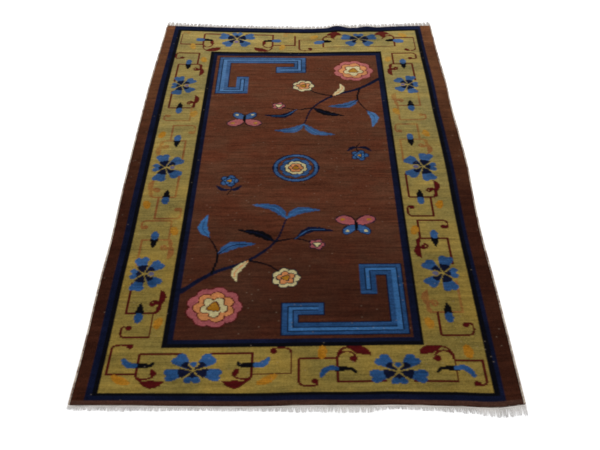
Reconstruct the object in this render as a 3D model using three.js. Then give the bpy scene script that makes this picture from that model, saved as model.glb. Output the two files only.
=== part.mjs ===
// Hand-knotted wool rug lying flat: one knotted body, an overcast cord down each
// side and a short comb of warp ends along each end.
// Millimetres, +Z up, +Y along the length. x = 0 is the loom's centre line and
// z = 0 is the floor until the finished rug is centred on its own box.
import * as THREE from "three";

// ---- driving dimensions ----
const FOUNDATION = 3.0; // cotton warp and weft under the pile
const PILE = 5.0; // clipped wool above the foundation
const EDGE_ROLL = 4.0; // how far in from an edge the pile reaches its full height
const EDGE_DROP = 1.2; // how much lower the pile stands at the very edge
const SEAM_GAP = 0.3; // clearance between neighbouring pieces
const SIDE_CORD = { width: 6.0, height: 4.6 };
// The web is the strip that the tufts hang from. A tip is drawn in by taper of a pitch on
// each side. Its length past the web varies by up to uneven, as a share of that length.
const COMB = { thickness: 2.2, web: 6, tuftPitch: 18, cleft: 4, taper: 0.12, uneven: 0.12 };
// The last cell before the far edge is split, because the curls there are short.
const CELLS = { across: 40, along: 30, farSplit: 4 };

// Reach of the knotted edge to the left and right of the loom's centre line.
const SIDE_STATIONS = [
  { y: -1091, left: 614, right: 612 },
  { y: -850, left: 613, right: 612 },
  { y: -600, left: 617, right: 611 },
  { y: -400, left: 616, right: 608 },
  { y: -200, left: 621, right: 612 },
  { y: 0, left: 624, right: 620 },
  { y: 200, left: 626, right: 619 },
  { y: 400, left: 627, right: 616 },
  { y: 600, left: 628, right: 619 },
  { y: 850, left: 623, right: 614 },
  { y: 1091, left: 619, right: 613 },
];

// Reach of the knotted edge to the near and far end, and the length of warp ends past it.
const END_STATIONS = [
  { x: -612, near: 1090, far: 1112, nearFringe: 15, farFringe: 47 },
  { x: -450, near: 1091, far: 1099, nearFringe: 18, farFringe: 42 },
  { x: -300, near: 1093, far: 1088, nearFringe: 15, farFringe: 38 },
  { x: -100, near: 1094, far: 1079, nearFringe: 16, farFringe: 38 },
  { x: 50, near: 1090, far: 1075, nearFringe: 23, farFringe: 37 },
  { x: 182, near: 1091, far: 1084, nearFringe: 23, farFringe: 40 },
  { x: 265, near: 1089, far: 1085, nearFringe: 15, farFringe: 44 },
  { x: 337, near: 1091, far: 1086, nearFringe: 16, farFringe: 45 },
  { x: 450, near: 1095, far: 1097, nearFringe: 21, farFringe: 42 },
  { x: 540, near: 1099, far: 1102, nearFringe: 29, farFringe: 46 },
  { x: 612, near: 1089, far: 1104, nearFringe: 34, farFringe: 48 },
];

// Low curls where the far end has stretched: they run in from the far edge and die out.
const RIPPLES = [
  { x: 178, halfWidth: 55, height: 11, length: 80 },
  { x: 315, halfWidth: 50, height: 7, length: 80 },
];
// Slow swells of the clipped pile.
const SWELLS = [
  { height: 0.35, acrossWave: 410, alongWave: 590, phase: 0.4 },
  { height: 0.25, acrossWave: 230, alongWave: 340, phase: 2.1 },
];

// ---- shape of the lying rug ----
// Smooth curves through the named columns of a station table, over its key column.
function stationCurve(stations, key, columns) {
  const positions = stations.map((row) => row[key]);
  const values = stations.flatMap((row) => columns.map((column) => row[column]));
  const curve = new THREE.CubicInterpolant(positions, values, columns.length);
  const first = positions[0];
  const last = positions[positions.length - 1];
  return (place) => {
    const reaches = curve.evaluate(THREE.MathUtils.clamp(place, first, last));
    return Object.fromEntries(columns.map((column, i) => [column, reaches[i]]));
  };
}

const sideReach = stationCurve(SIDE_STATIONS, "y", ["left", "right"]);
const endReach = stationCurve(END_STATIONS, "x", ["near", "far", "nearFringe", "farFringe"]);
const HALF_LENGTH = SIDE_STATIONS[SIDE_STATIONS.length - 1].y;
const HALF_WIDTH = END_STATIONS[END_STATIONS.length - 1].x;

// Place on the rug from u, v in -1..1, across and along the knotted body.
function placeOnRug(u, v) {
  const { left, right } = sideReach(v * HALF_LENGTH);
  const { near, far } = endReach(u * HALF_WIDTH);
  return { x: u < 0 ? u * left : u * right, y: v < 0 ? v * near : v * far };
}

// Height of the underside over the floor.
function rippleLift(x, y) {
  let lift = 0;
  for (const ripple of RIPPLES) {
    const across = Math.max(0, 1 - ((x - ripple.x) / ripple.halfWidth) ** 2);
    const along = THREE.MathUtils.smoothstep(y, HALF_LENGTH - ripple.length, HALF_LENGTH);
    lift += ripple.height * across * across * along;
  }
  return lift;
}

function pileSwell(x, y) {
  const turn = 2 * Math.PI;
  let swell = 0;
  for (const wave of SWELLS) {
    swell += wave.height * Math.sin((turn * x) / wave.acrossWave + wave.phase)
      * Math.cos((turn * y) / wave.alongWave);
  }
  return swell;
}

// ---- mesh helpers ----
function meshFrom(name, material, positions, triangles) {
  const geometry = new THREE.BufferGeometry();
  geometry.setAttribute("position", new THREE.Float32BufferAttribute(positions, 3));
  geometry.setIndex(triangles);
  geometry.computeVertexNormals();
  const mesh = new THREE.Mesh(geometry, material);
  mesh.name = name;
  return mesh;
}

// A closed solid through rings of points. Every ring runs anticlockwise as seen from -Y and
// starts at its leftmost point, so each cap is a ladder between its lower and upper chains.
function loftRings(name, material, rings) {
  const size = rings[0].length;
  const last = (rings.length - 1) * size;
  const positions = rings.flatMap((ring) => ring.flatMap((point) => [point.x, point.y, point.z]));
  const triangles = [];
  for (let r = 0; r + 1 < rings.length; r += 1) {
    for (let i = 0; i < size; i += 1) {
      const a = r * size + i;
      const b = r * size + ((i + 1) % size);
      triangles.push(a, b + size, b, a, a + size, b + size);
    }
  }
  const cap = (a, b, c) => triangles.push(a, b, c, last + c, last + b, last + a);
  for (let i = 0; i < size / 2; i += 1) {
    const lower = i + 1;
    const upper = size - lower;
    if (lower !== upper) cap(i, lower, upper);
    if (i > 0) cap(i, upper, size - i);
  }
  return meshFrom(name, material, positions, triangles);
}

// ---- the pieces ----
const columns = Array.from({ length: CELLS.across + 1 }, (_, i) => (2 * i) / CELLS.across - 1);
const cellDepth = 2 / CELLS.along;
const evenRows = Array.from({ length: CELLS.along - 1 }, (_, j) => j * cellDepth - 1);
const curlRows = Array.from(
  { length: CELLS.farSplit + 1 },
  (_, k) => 1 - cellDepth * (1 - k / CELLS.farSplit),
);
const rows = [...evenRows, ...curlRows];
const rollU = EDGE_ROLL / HALF_WIDTH;
const rollV = EDGE_ROLL / HALF_LENGTH;

// Cross-section of the body at v: the top of the left edge, the underside from left to
// right, the top of the right edge, and the pile from right to left.
function bodyRing(v, atEnd) {
  const edgeHeight = FOUNDATION + PILE - EDGE_DROP;
  const point = (u, height) => {
    const { x, y } = placeOnRug(u, v);
    return new THREE.Vector3(x, y, rippleLift(x, y) + height);
  };
  const pileHeight = (u) => {
    const { x, y } = placeOnRug(u, v);
    return atEnd ? edgeHeight : FOUNDATION + PILE + pileSwell(x, y);
  };
  const inset = columns.map((u) => THREE.MathUtils.clamp(u, -1 + rollU, 1 - rollU));
  const under = columns.map((u) => point(u, 0));
  const pile = inset.map((u) => point(u, pileHeight(u))).reverse();
  return [point(-1, edgeHeight), ...under, point(1, edgeHeight), ...pile];
}

function rugBody(material) {
  const rings = [bodyRing(-1, true), bodyRing(-1 + rollV, false)];
  rows.slice(1, -1).forEach((v) => rings.push(bodyRing(v, false)));
  rings.push(bodyRing(1 - rollV, false), bodyRing(1, true));
  return loftRings("rug_body", material, rings);
}

// Overcast cord beside the body: an eight-sided tube with a flat foot.
function sideCord(name, side, material) {
  const { width, height } = SIDE_CORD;
  const section = [
    [0, 0.3], [0.25, 0], [0.75, 0], [1, 0.3], [1, 0.7], [0.75, 1], [0.25, 1], [0, 0.7],
  ];
  const rings = [-1, ...rows.slice(1, -1), 1].map((v) => {
    const edge = placeOnRug(side, v);
    const inner = edge.x + side * SEAM_GAP;
    const start = side > 0 ? inner : inner - width;
    const lift = rippleLift(edge.x, edge.y);
    return section.map(([across, up]) => (
      new THREE.Vector3(start + across * width, edge.y, lift + up * height)));
  });
  return loftRings(name, material, rings);
}

// Warp ends along one end, past the body and both cords: a narrow web with tufts of
// uneven length, cut into a comb.
function fringeComb(name, end, material) {
  const fringe = end > 0 ? "farFringe" : "nearFringe";
  const seam = columns.map((u) => {
    const edge = placeOnRug(u, end);
    return new THREE.Vector2(edge.x, edge.y + end * SEAM_GAP);
  });
  const cordRoom = new THREE.Vector2(SEAM_GAP + SIDE_CORD.width, 0);
  seam.unshift(seam[0].clone().sub(cordRoom));
  seam.push(seam[seam.length - 1].clone().add(cordRoom));
  const first = seam[0];
  const last = seam[seam.length - 1];
  const seamY = (x) => {
    const next = Math.max(1, seam.findIndex((point) => point.x >= x));
    const share = (x - seam[next - 1].x) / (seam[next].x - seam[next - 1].x);
    return THREE.MathUtils.lerp(seam[next - 1].y, seam[next].y, share);
  };
  const tufts = Math.round((last.x - first.x) / COMB.tuftPitch);
  const pitch = (last.x - first.x) / tufts;
  const tips = [];
  for (let i = tufts - 1; i >= 0; i -= 1) {
    const middle = first.x + (i + 0.5) * pitch;
    const uneven = 1 + COMB.uneven * Math.sin(2.4 * i) * Math.cos(1.1 * i);
    const reach = COMB.web + (endReach(middle)[fringe] - COMB.web) * uneven;
    const rightFoot = i === tufts - 1 ? last.x : first.x + (i + 1) * pitch - COMB.cleft / 2;
    const leftFoot = i === 0 ? first.x : first.x + i * pitch + COMB.cleft / 2;
    const draw = COMB.taper * pitch;
    tips.push(new THREE.Vector2(rightFoot, seamY(rightFoot) + end * COMB.web));
    tips.push(new THREE.Vector2(rightFoot - draw, seamY(rightFoot - draw) + end * reach));
    tips.push(new THREE.Vector2(leftFoot + draw, seamY(leftFoot + draw) + end * reach));
    tips.push(new THREE.Vector2(leftFoot, seamY(leftFoot) + end * COMB.web));
  }
  const shape = new THREE.Shape([...seam, ...tips]);
  const geometry = new THREE.ExtrudeGeometry(shape, { depth: COMB.thickness, bevelEnabled: false });
  const position = geometry.attributes.position;
  for (let i = 0; i < position.count; i += 1) {
    const lift = rippleLift(position.getX(i), position.getY(i));
    position.setZ(i, position.getZ(i) + lift);
  }
  geometry.computeVertexNormals();
  const mesh = new THREE.Mesh(geometry, material);
  mesh.name = name;
  return mesh;
}

// ---- materials ----
const pileWool = new THREE.MeshStandardMaterial({ color: 0x5a3020, roughness: 0.95, metalness: 0 });
const cordWool = new THREE.MeshStandardMaterial({ color: 0x9a9080, roughness: 0.95, metalness: 0 });
const warpCotton = new THREE.MeshStandardMaterial({ color: 0xd8d4cc, roughness: 0.95, metalness: 0 });

// ---- the rug, centred on its own box ----
const rug = new THREE.Group();
rug.add(rugBody(pileWool));
rug.add(sideCord("left_side_cord", -1, cordWool));
rug.add(sideCord("right_side_cord", 1, cordWool));
rug.add(fringeComb("near_fringe", -1, warpCotton));
rug.add(fringeComb("far_fringe", 1, warpCotton));
const middle = new THREE.Box3().setFromObject(rug).getCenter(new THREE.Vector3());
rug.position.set(-middle.x, -middle.y, 0);

export default rug;
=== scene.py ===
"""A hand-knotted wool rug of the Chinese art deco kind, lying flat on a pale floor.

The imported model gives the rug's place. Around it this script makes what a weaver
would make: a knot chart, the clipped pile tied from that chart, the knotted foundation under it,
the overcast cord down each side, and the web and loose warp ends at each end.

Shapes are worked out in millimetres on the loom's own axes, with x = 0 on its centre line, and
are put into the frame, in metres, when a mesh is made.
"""
from __future__ import annotations

import logging
import math
from dataclasses import dataclass, field, replace
from enum import IntEnum
from typing import NamedTuple, Sequence

import bpy
import numpy as np
from mathutils import Matrix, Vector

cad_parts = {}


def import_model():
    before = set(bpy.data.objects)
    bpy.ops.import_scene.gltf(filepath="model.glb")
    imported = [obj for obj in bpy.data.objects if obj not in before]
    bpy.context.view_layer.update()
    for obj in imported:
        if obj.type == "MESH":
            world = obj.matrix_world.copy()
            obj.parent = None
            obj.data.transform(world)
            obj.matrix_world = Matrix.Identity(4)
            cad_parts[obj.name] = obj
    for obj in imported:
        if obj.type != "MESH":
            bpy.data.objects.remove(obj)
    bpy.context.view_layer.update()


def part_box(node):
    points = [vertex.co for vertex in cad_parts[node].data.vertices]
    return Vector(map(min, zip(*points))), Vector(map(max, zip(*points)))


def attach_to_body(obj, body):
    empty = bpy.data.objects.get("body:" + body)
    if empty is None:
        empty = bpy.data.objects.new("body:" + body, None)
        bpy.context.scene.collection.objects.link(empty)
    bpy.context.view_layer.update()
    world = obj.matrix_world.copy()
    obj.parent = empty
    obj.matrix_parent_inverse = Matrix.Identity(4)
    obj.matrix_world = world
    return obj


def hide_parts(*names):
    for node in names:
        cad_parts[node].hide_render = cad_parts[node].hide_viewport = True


LOG = logging.getLogger("rug")
MM = 0.001
WEAVER_SEED = 1925

Array = np.ndarray
Rgb = tuple[float, float, float]
Point = tuple[float, float]


# ---------------------------------------------------------------------------
# How the rug lies
# ---------------------------------------------------------------------------
class SideStation(NamedTuple):
    """Reach of the knotted edge to the left and right of the loom's centre line at y."""

    y: float
    left: float
    right: float


class EndStation(NamedTuple):
    """Reach of the knotted edge to both ends at x, and the length of warp ends past it."""

    x: float
    near: float
    far: float
    near_fringe: float
    far_fringe: float


class Ripple(NamedTuple):
    """A low ripple at the far end, where the knotting has stretched."""

    x: float
    half_width: float
    height: float
    length: float


class Swell(NamedTuple):
    """A slow wave in the clipped pile."""

    height: float
    across_wave: float
    along_wave: float
    phase: float


SIDE_STATIONS = (
    SideStation(-1091, 614, 612),
    SideStation(-850, 613, 612),
    SideStation(-600, 617, 611),
    SideStation(-400, 616, 608),
    SideStation(-200, 621, 612),
    SideStation(0, 624, 620),
    SideStation(200, 626, 619),
    SideStation(400, 627, 616),
    SideStation(600, 628, 619),
    SideStation(850, 623, 614),
    SideStation(1091, 619, 613),
)
END_STATIONS = (
    EndStation(-612, 1090, 1112, 15, 47),
    EndStation(-450, 1091, 1099, 18, 42),
    EndStation(-300, 1093, 1088, 15, 38),
    EndStation(-100, 1094, 1079, 16, 38),
    EndStation(50, 1090, 1075, 23, 37),
    EndStation(182, 1091, 1084, 23, 40),
    EndStation(265, 1089, 1085, 15, 44),
    EndStation(337, 1091, 1086, 16, 45),
    EndStation(450, 1095, 1097, 21, 42),
    EndStation(540, 1099, 1102, 29, 46),
    EndStation(612, 1089, 1104, 34, 48),
)
RIPPLES = (Ripple(178, 55, 11, 80), Ripple(315, 50, 7, 80))
SWELLS = (Swell(0.35, 410, 590, 0.4), Swell(0.25, 230, 340, 2.1))


def smooth_curve(keys: Array, values: Array, places: Array) -> Array:
    """Follow a smooth curve through a station column.

    A cubic runs between neighbouring stations. Its slope at a station is the mean of the
    slopes of the two straight lines that meet there.

    Args:
        keys: rising station places.
        values: the column's value at each station.
        places: where the curve is wanted, held within the first and last station.

    Returns:
        The value at every place.
    """
    slopes = np.diff(values) / np.diff(keys)
    tangents = np.concatenate((slopes[:1], (slopes[1:] + slopes[:-1]) / 2, slopes[-1:]))
    held = np.clip(places, keys[0], keys[-1])
    cell = np.clip(np.searchsorted(keys, held, side="right") - 1, 0, len(keys) - 2)
    step = keys[cell + 1] - keys[cell]
    t = (held - keys[cell]) / step
    start = values[cell] * (1 + 2 * t) * (1 - t) ** 2 + values[cell + 1] * t * t * (3 - 2 * t)
    lean = tangents[cell] * t * (1 - t) ** 2 - tangents[cell + 1] * t * t * (1 - t)
    return start + lean * step


def smoothstep(values: Array, low: float, high: float) -> Array:
    """Rise from 0 at low to 1 at high as 3t^2 - 2t^3."""
    t = np.clip((values - low) / (high - low), 0, 1)
    return t * t * (3 - 2 * t)


@dataclass
class Loom:
    """The lying rug's shape, and the step from the loom's axes to the frame.

    Attributes:
        body_low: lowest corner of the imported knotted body, in metres.
        body_high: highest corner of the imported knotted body, in metres.
        half_length: half of the length that the stations cover.
        half_width: half of the width that the stations cover.
        foundation: thickness of the knotted foundation.
        pile: height of the clipped pile over it.
        seam_gap: gap between the knotted edge and what is sewn or woven past it.
        design_drift_across: how far left the middle of the design sits, over the half width.
        design_drift_along: how far near it sits, over the half length.
        near_tilt: rise of the near half's lines to the right, over their length.
        shift: place of the loom's own origin in the frame, in metres.
    """

    body_low: Sequence[float]
    body_high: Sequence[float]
    half_length: float = 1091.0
    half_width: float = 612.0
    foundation: float = 3.0
    pile: float = 5.0
    seam_gap: float = 0.3
    design_drift_across: float = 0.0148
    design_drift_along: float = 0.0183
    near_tilt: float = 0.02
    shift: Array = field(init=False)

    def __post_init__(self) -> None:
        """Find the loom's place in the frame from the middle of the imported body."""
        edge = np.linspace(-1, 1, 401)
        left, _ = self.outline(np.full_like(edge, -1), edge)
        right, _ = self.outline(np.ones_like(edge), edge)
        _, near = self.outline(edge, np.full_like(edge, -1))
        _, far = self.outline(edge, np.ones_like(edge))
        middle = np.array([left.min() + right.max(), near.min() + far.max()]) / 2
        frame_middle = (np.array(self.body_low[:2]) + np.array(self.body_high[:2])) / 2
        self.shift = np.append(frame_middle - middle * MM, 0.0)

    @staticmethod
    def side_reach(y: Array) -> tuple[Array, Array]:
        """Reach of the knotted edge to the left and to the right at y."""
        table = np.array(SIDE_STATIONS, dtype=float).T
        return smooth_curve(table[0], table[1], y), smooth_curve(table[0], table[2], y)

    @staticmethod
    def end_reach(x: Array) -> tuple[Array, Array, Array, Array]:
        """Reach to the near and far end at x, and the near and far length of warp ends."""
        table = np.array(END_STATIONS, dtype=float).T
        near, far, near_fringe, far_fringe = (
            smooth_curve(table[0], column, x) for column in table[1:]
        )
        return near, far, near_fringe, far_fringe

    def outline(self, u: Array, v: Array) -> tuple[Array, Array]:
        """Place on the rug from u, v in -1..1, scaled to the edge's reach each way."""
        left, right = self.side_reach(v * self.half_length)
        near, far, _, _ = self.end_reach(u * self.half_width)
        return np.where(u < 0, u * left, u * right), np.where(v < 0, v * near, v * far)

    def knotted(self, u: Array, v: Array) -> tuple[Array, Array]:
        """Place of the chart's u, v on the rug as it was really knotted.

        The middle of the design sits a little towards the near left corner: each axis is
        moved by its drift times 1 - |w| to a high power, so the edges stay. The near half
        tilts a little, up to the right. The waves of the near end, and the sides' bulge past
        their near corners, die out with the fifth power, and those of the far end with the third.

        Args:
            u: chart place across, -1 to 1.
            v: chart place along, -1 to 1.

        Returns:
            x and y on the loom, in millimetres.
        """
        across = u - self.design_drift_across * (1 - np.abs(u) ** 7)
        along = v - self.design_drift_along * (1 - np.abs(v) ** 9)
        left, right = self.side_reach(v * self.half_length)
        near, far, _, _ = self.end_reach(u * self.half_width)
        end = np.where(v < 0, near, far) - self.half_length
        fading = np.abs(v) ** np.where(v < 0, 5, 3)
        y = along * self.half_length + np.sign(v) * end * fading
        corner = SIDE_STATIONS[0]
        left = corner.left + (left - corner.left) * np.abs(u) ** 5
        right = corner.right + (right - corner.right) * np.abs(u) ** 5
        x = np.where(across < 0, across * left, across * right)
        return x, y + self.near_tilt * x * np.clip(-v, 0, 1) * (1 - np.abs(v) ** 9)

    def lift(self, x: Array, y: Array) -> Array:
        """Height of the underside over the floor: the sum of the ripples.

        A ripple's height is (1 - d^2)^2 across, with d the distance from its crest over its
        half width, and dies out inwards along its length as a smoothstep.
        """
        total = np.zeros(np.broadcast(x, y).shape)
        for ripple in RIPPLES:
            across = np.maximum(0, 1 - ((x - ripple.x) / ripple.half_width) ** 2)
            along = smoothstep(y, self.half_length - ripple.length, self.half_length)
            total += ripple.height * across * across * along
        return total

    @staticmethod
    def swell(x: Array, y: Array) -> Array:
        """Slow waves of the clipped pile: a sine across times a cosine along, summed."""
        total = np.zeros(np.broadcast(x, y).shape)
        for wave in SWELLS:
            across = np.sin(math.tau * x / wave.across_wave + wave.phase)
            total += wave.height * across * np.cos(math.tau * y / wave.along_wave)
        return total

    def to_frame(self, x: Array, y: Array, z: Array) -> Array:
        """Rows of x, y, z in the frame, in metres, from loom millimetres."""
        points = np.stack(np.broadcast_arrays(x, y, z), axis=-1).reshape(-1, 3)
        return points * MM + self.shift


# ---------------------------------------------------------------------------
# Dyes
# ---------------------------------------------------------------------------
class Ink(IntEnum):
    """The dyed wools on the weaver's beam."""

    GUARD = 0
    FIELD = 1
    BLACK = 2
    NAVY = 3
    GOLD = 4
    BLUE = 5
    SKY = 6
    MAROON = 7
    ROSE = 8
    ORANGE = 9
    CREAM = 10
    PEACH = 11
    PINK = 12
    MAUVE = 13
    WORN_GUARD = 14


@dataclass(frozen=True)
class Dye:
    """One wool's colour and how unevenly it took the dye.

    Attributes:
        near: colour at the near end as the eye sees it, 0 to 1.
        far: colour at the far end, paler partly from bleaching and partly as a painted sheen of the pile.
        streak: depth of the streaks along the weft rows.
        mottle: depth of the slow patches.
        patch: the patches' own share of red, green and blue.
        fade_and_sheen: where along the rug the paling begins and is full, in chart millimetres.
    """

    near: Rgb
    far: Rgb
    streak: float
    mottle: float
    patch: Rgb = (0.9, 0.9, 0.9)
    fade_and_sheen: tuple[float, float] = (-350.0, 1100.0)


# Each wool's far colour is paler: partly bleaching, partly a painted sheen of the pile.
DYES: dict[Ink, Dye] = {
    Ink.GUARD: Dye((0.20, 0.095, 0.06), (0.375, 0.23, 0.15), 0.18, 0.18, (1.1, 1.14, 1.1)),
    Ink.FIELD: Dye(
        (0.255, 0.125, 0.08), (0.37, 0.20, 0.13), 0.20, 0.16, (0.92, 1.05, 1.1), (-900.0, 200.0)
    ),
    Ink.BLACK: Dye((0.035, 0.035, 0.055), (0.055, 0.05, 0.065), 0.14, 0.12),
    Ink.NAVY: Dye((0.045, 0.065, 0.145), (0.06, 0.085, 0.17), 0.14, 0.24, (1.15, 1.1, 1.1)),
    Ink.GOLD: Dye(
        (0.50, 0.435, 0.22), (0.56, 0.51, 0.32), 0.16, 0.28, (1.02, 0.97, 0.88), (-900.0, 900.0)
    ),
    Ink.BLUE: Dye(
        (0.13, 0.265, 0.43), (0.21, 0.33, 0.48), 0.14, 0.36, (1.2, 1.08, 1.04), (-900.0, 900.0)
    ),
    Ink.SKY: Dye((0.22, 0.40, 0.59), (0.34, 0.48, 0.64), 0.10, 0.20),
    Ink.MAROON: Dye((0.29, 0.06, 0.06), (0.37, 0.13, 0.10), 0.12, 0.15),
    Ink.ROSE: Dye((0.50, 0.30, 0.17), (0.58, 0.41, 0.25), 0.12, 0.40, (1.0, 1.2, 1.0)),
    Ink.ORANGE: Dye((0.62, 0.41, 0.09), (0.68, 0.50, 0.17), 0.10, 0.30, (0.92, 1.0, 1.4)),
    Ink.CREAM: Dye((0.74, 0.69, 0.51), (0.80, 0.75, 0.58), 0.08, 0.15),
    Ink.PEACH: Dye((0.74, 0.49, 0.30), (0.80, 0.56, 0.37), 0.08, 0.18),
    Ink.PINK: Dye((0.60, 0.32, 0.33), (0.70, 0.42, 0.40), 0.09, 0.20),
    Ink.WORN_GUARD: Dye((0.285, 0.185, 0.15), (0.285, 0.185, 0.15), 0.18, 0.2),
    Ink.MAUVE: Dye((0.36, 0.35, 0.44), (0.47, 0.40, 0.52), 0.08, 0.20),
}


def linear(srgb: Array) -> Array:
    """Turn sRGB values into linear light: the power 2.4 law with its straight foot."""
    values = np.asarray(srgb, dtype=float)
    return np.where(values <= 0.04045, values / 12.92, ((values + 0.055) / 1.055) ** 2.4)


def drift(shape: tuple[int, int], cells: tuple[int, int], rng: np.random.Generator) -> Array:
    """A smooth random field of about unit depth.

    Args:
        shape: rows and columns wanted.
        cells: lattice cells along each axis. Between the lattice's random values the field
            follows a smoothstep on each axis.
        rng: the weaver's seeded dice.

    Returns:
        The field as rows by columns.
    """
    lattice = rng.standard_normal((cells[0] + 2, cells[1] + 2))
    place = [np.linspace(0, cells[axis], shape[axis], endpoint=False) for axis in (0, 1)]
    whole = [axis.astype(int) for axis in place]
    part = [smoothstep(p - w, 0, 1) for p, w in zip(place, whole)]
    row, column = whole[0][:, None], whole[1][None, :]
    across = part[1][None, :]
    low = lattice[row, column] * (1 - across) + lattice[row, column + 1] * across
    high = lattice[row + 1, column] * (1 - across) + lattice[row + 1, column + 1] * across
    return low + (high - low) * part[0][:, None]


# ---------------------------------------------------------------------------
# The knot chart
# ---------------------------------------------------------------------------
def straight(points: Sequence[Point], step: float = 1.5) -> Array:
    """Evenly spaced points along the straight lines between corners."""
    corners = np.array(points, dtype=float)
    reach = np.concatenate(([0], np.cumsum(np.hypot(*np.diff(corners, axis=0).T))))
    places = np.linspace(0, reach[-1], max(2, int(reach[-1] / step) + 1))
    return np.stack([np.interp(places, reach, corners[:, axis]) for axis in (0, 1)], axis=-1)


def flowing(points: Sequence[Point], step: float = 1.5) -> Array:
    """Evenly spaced points along a smooth curve through the given ones."""
    knots = np.array(points, dtype=float)
    reach = np.concatenate(([0], np.cumsum(np.hypot(*np.diff(knots, axis=0).T))))
    places = np.linspace(0, reach[-1], max(2, int(reach[-1] / step) + 1))
    return np.stack([smooth_curve(reach, knots[:, axis], places) for axis in (0, 1)], axis=-1)


def swelling(count: int, thickest: float, ends: float = 0.0, peak: float = 0.5) -> Array:
    """Half widths along a brush stroke: a sine hump from ends up to thickest at peak."""
    t = np.linspace(0, 1, count)
    turned = np.where(t < peak, 0.5 * t / peak, 0.5 + 0.5 * (t - peak) / (1 - peak))
    return ends + (thickest - ends) * np.sin(math.pi * turned)


class Frame(NamedTuple):
    """A filled rectangle of the chart: its reach from the middle each way, and its ink.

    A negative reach puts that edge past the middle, so the rectangle becomes a strip.
    """

    left: float
    right: float
    near: float
    far: float
    ink: Ink


@dataclass
class KnotChart:
    """The weaver's chart: one ink for each knot, on a grid of chart millimetres.

    Attributes:
        columns: knots across.
        rows: knots along.
        half_width: chart reach to each side.
        half_length: chart reach to each end.
    """

    columns: int = 315
    rows: int = 560
    half_width: float = 611.5
    half_length: float = 1091.5
    inks: Array = field(init=False)
    x: Array = field(init=False)
    y: Array = field(init=False)

    def __post_init__(self) -> None:
        """Lay out the knot centres and fill the chart with the guard's wool."""
        self.x = ((np.arange(self.columns) + 0.5) / self.columns * 2 - 1) * self.half_width
        self.y = ((np.arange(self.rows) + 0.5) / self.rows * 2 - 1) * self.half_length
        self.inks = np.full((self.rows, self.columns), Ink.GUARD, dtype=np.uint8)

    def block(self, frame: Frame) -> None:
        """Fill the rectangle within a frame's outer edge with its ink."""
        across = (self.x >= -frame.left) & (self.x <= frame.right)
        along = (self.y >= -frame.near) & (self.y <= frame.far)
        self.inks[along[:, None] & across[None, :]] = frame.ink

    def brush(self, path: Array, radii: Array | float, ink: Ink, square: bool = False) -> None:
        """Ink every knot that a brush drawn along a path covers.

        Args:
            path: closely spaced points in chart millimetres.
            radii: half width of the brush, one for all points or one for each.
            ink: the wool.
            square: a square brush keeps the corners of a fret crisp, a round one doesn't.
        """
        radii = np.broadcast_to(np.asarray(radii, dtype=float), (len(path),))
        reach = radii.max()
        low, high = path.min(axis=0) - reach, path.max(axis=0) + reach
        columns = slice(*np.searchsorted(self.x, (low[0], high[0])))
        rows = slice(*np.searchsorted(self.y, (low[1], high[1])))
        dx = np.abs(self.x[None, columns, None] - path[:, 0])
        dy = np.abs(self.y[rows, None, None] - path[:, 1])
        distance = np.maximum(dx, dy) if square else np.hypot(dx, dy)
        covered = (distance <= radii).any(axis=-1)
        self.inks[rows, columns][covered] = ink

    def dot(self, centre: Point, radius: float, ink: Ink) -> None:
        """Ink a round dot."""
        self.brush(np.array([centre], dtype=float), radius, ink)


@dataclass(frozen=True)
class Place:
    """A motif's own axes on the chart.

    Attributes:
        x: chart place of the motif's middle.
        y: chart place of the motif's middle.
        along: unit vector of the motif's first axis.
        across: unit vector of its second axis, which may mirror it.
        stretch: scale of the second axis.
    """

    x: float
    y: float
    along: Point = (1.0, 0.0)
    across: Point = (0.0, 1.0)
    stretch: float = 1.0

    def on_chart(self, path: Array) -> Array:
        """Chart points of a path given on the motif's axes."""
        first = path[:, :1] * np.array(self.along)
        second = path[:, 1:] * self.stretch * np.array(self.across)
        return np.array([self.x, self.y]) + first + second


@dataclass(frozen=True)
class WingStyle:
    """How the small parts of a wing are brushed.

    Every path is points out from the box's outer side and away from the vine. Widths are
    half widths along a path.

    Attributes:
        stalk: line from the box to the leaf.
        leaf: rib of the leaf.
        leaf_widths: widths of the leaf.
        curl: line of the curl inside the box.
        drop: middle line of the curl's end.
        drop_widths: widths of the curl's end.
        dark: middle line of the bud's dark foot.
        dark_widths: widths of the foot.
        blue: middle line of the bud.
        blue_widths: widths of the bud.
        fleck: middle line of the orange fleck.
        fleck_widths: widths of the fleck.
    """

    stalk: tuple[Point, ...]
    leaf: tuple[Point, ...]
    leaf_widths: tuple[float, ...]
    curl: tuple[Point, ...]
    drop: tuple[Point, ...]
    drop_widths: tuple[float, ...]
    dark: tuple[Point, ...]
    dark_widths: tuple[float, ...]
    blue: tuple[Point, ...]
    blue_widths: tuple[float, ...]
    fleck: tuple[Point, ...]
    fleck_widths: tuple[float, ...]


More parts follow.
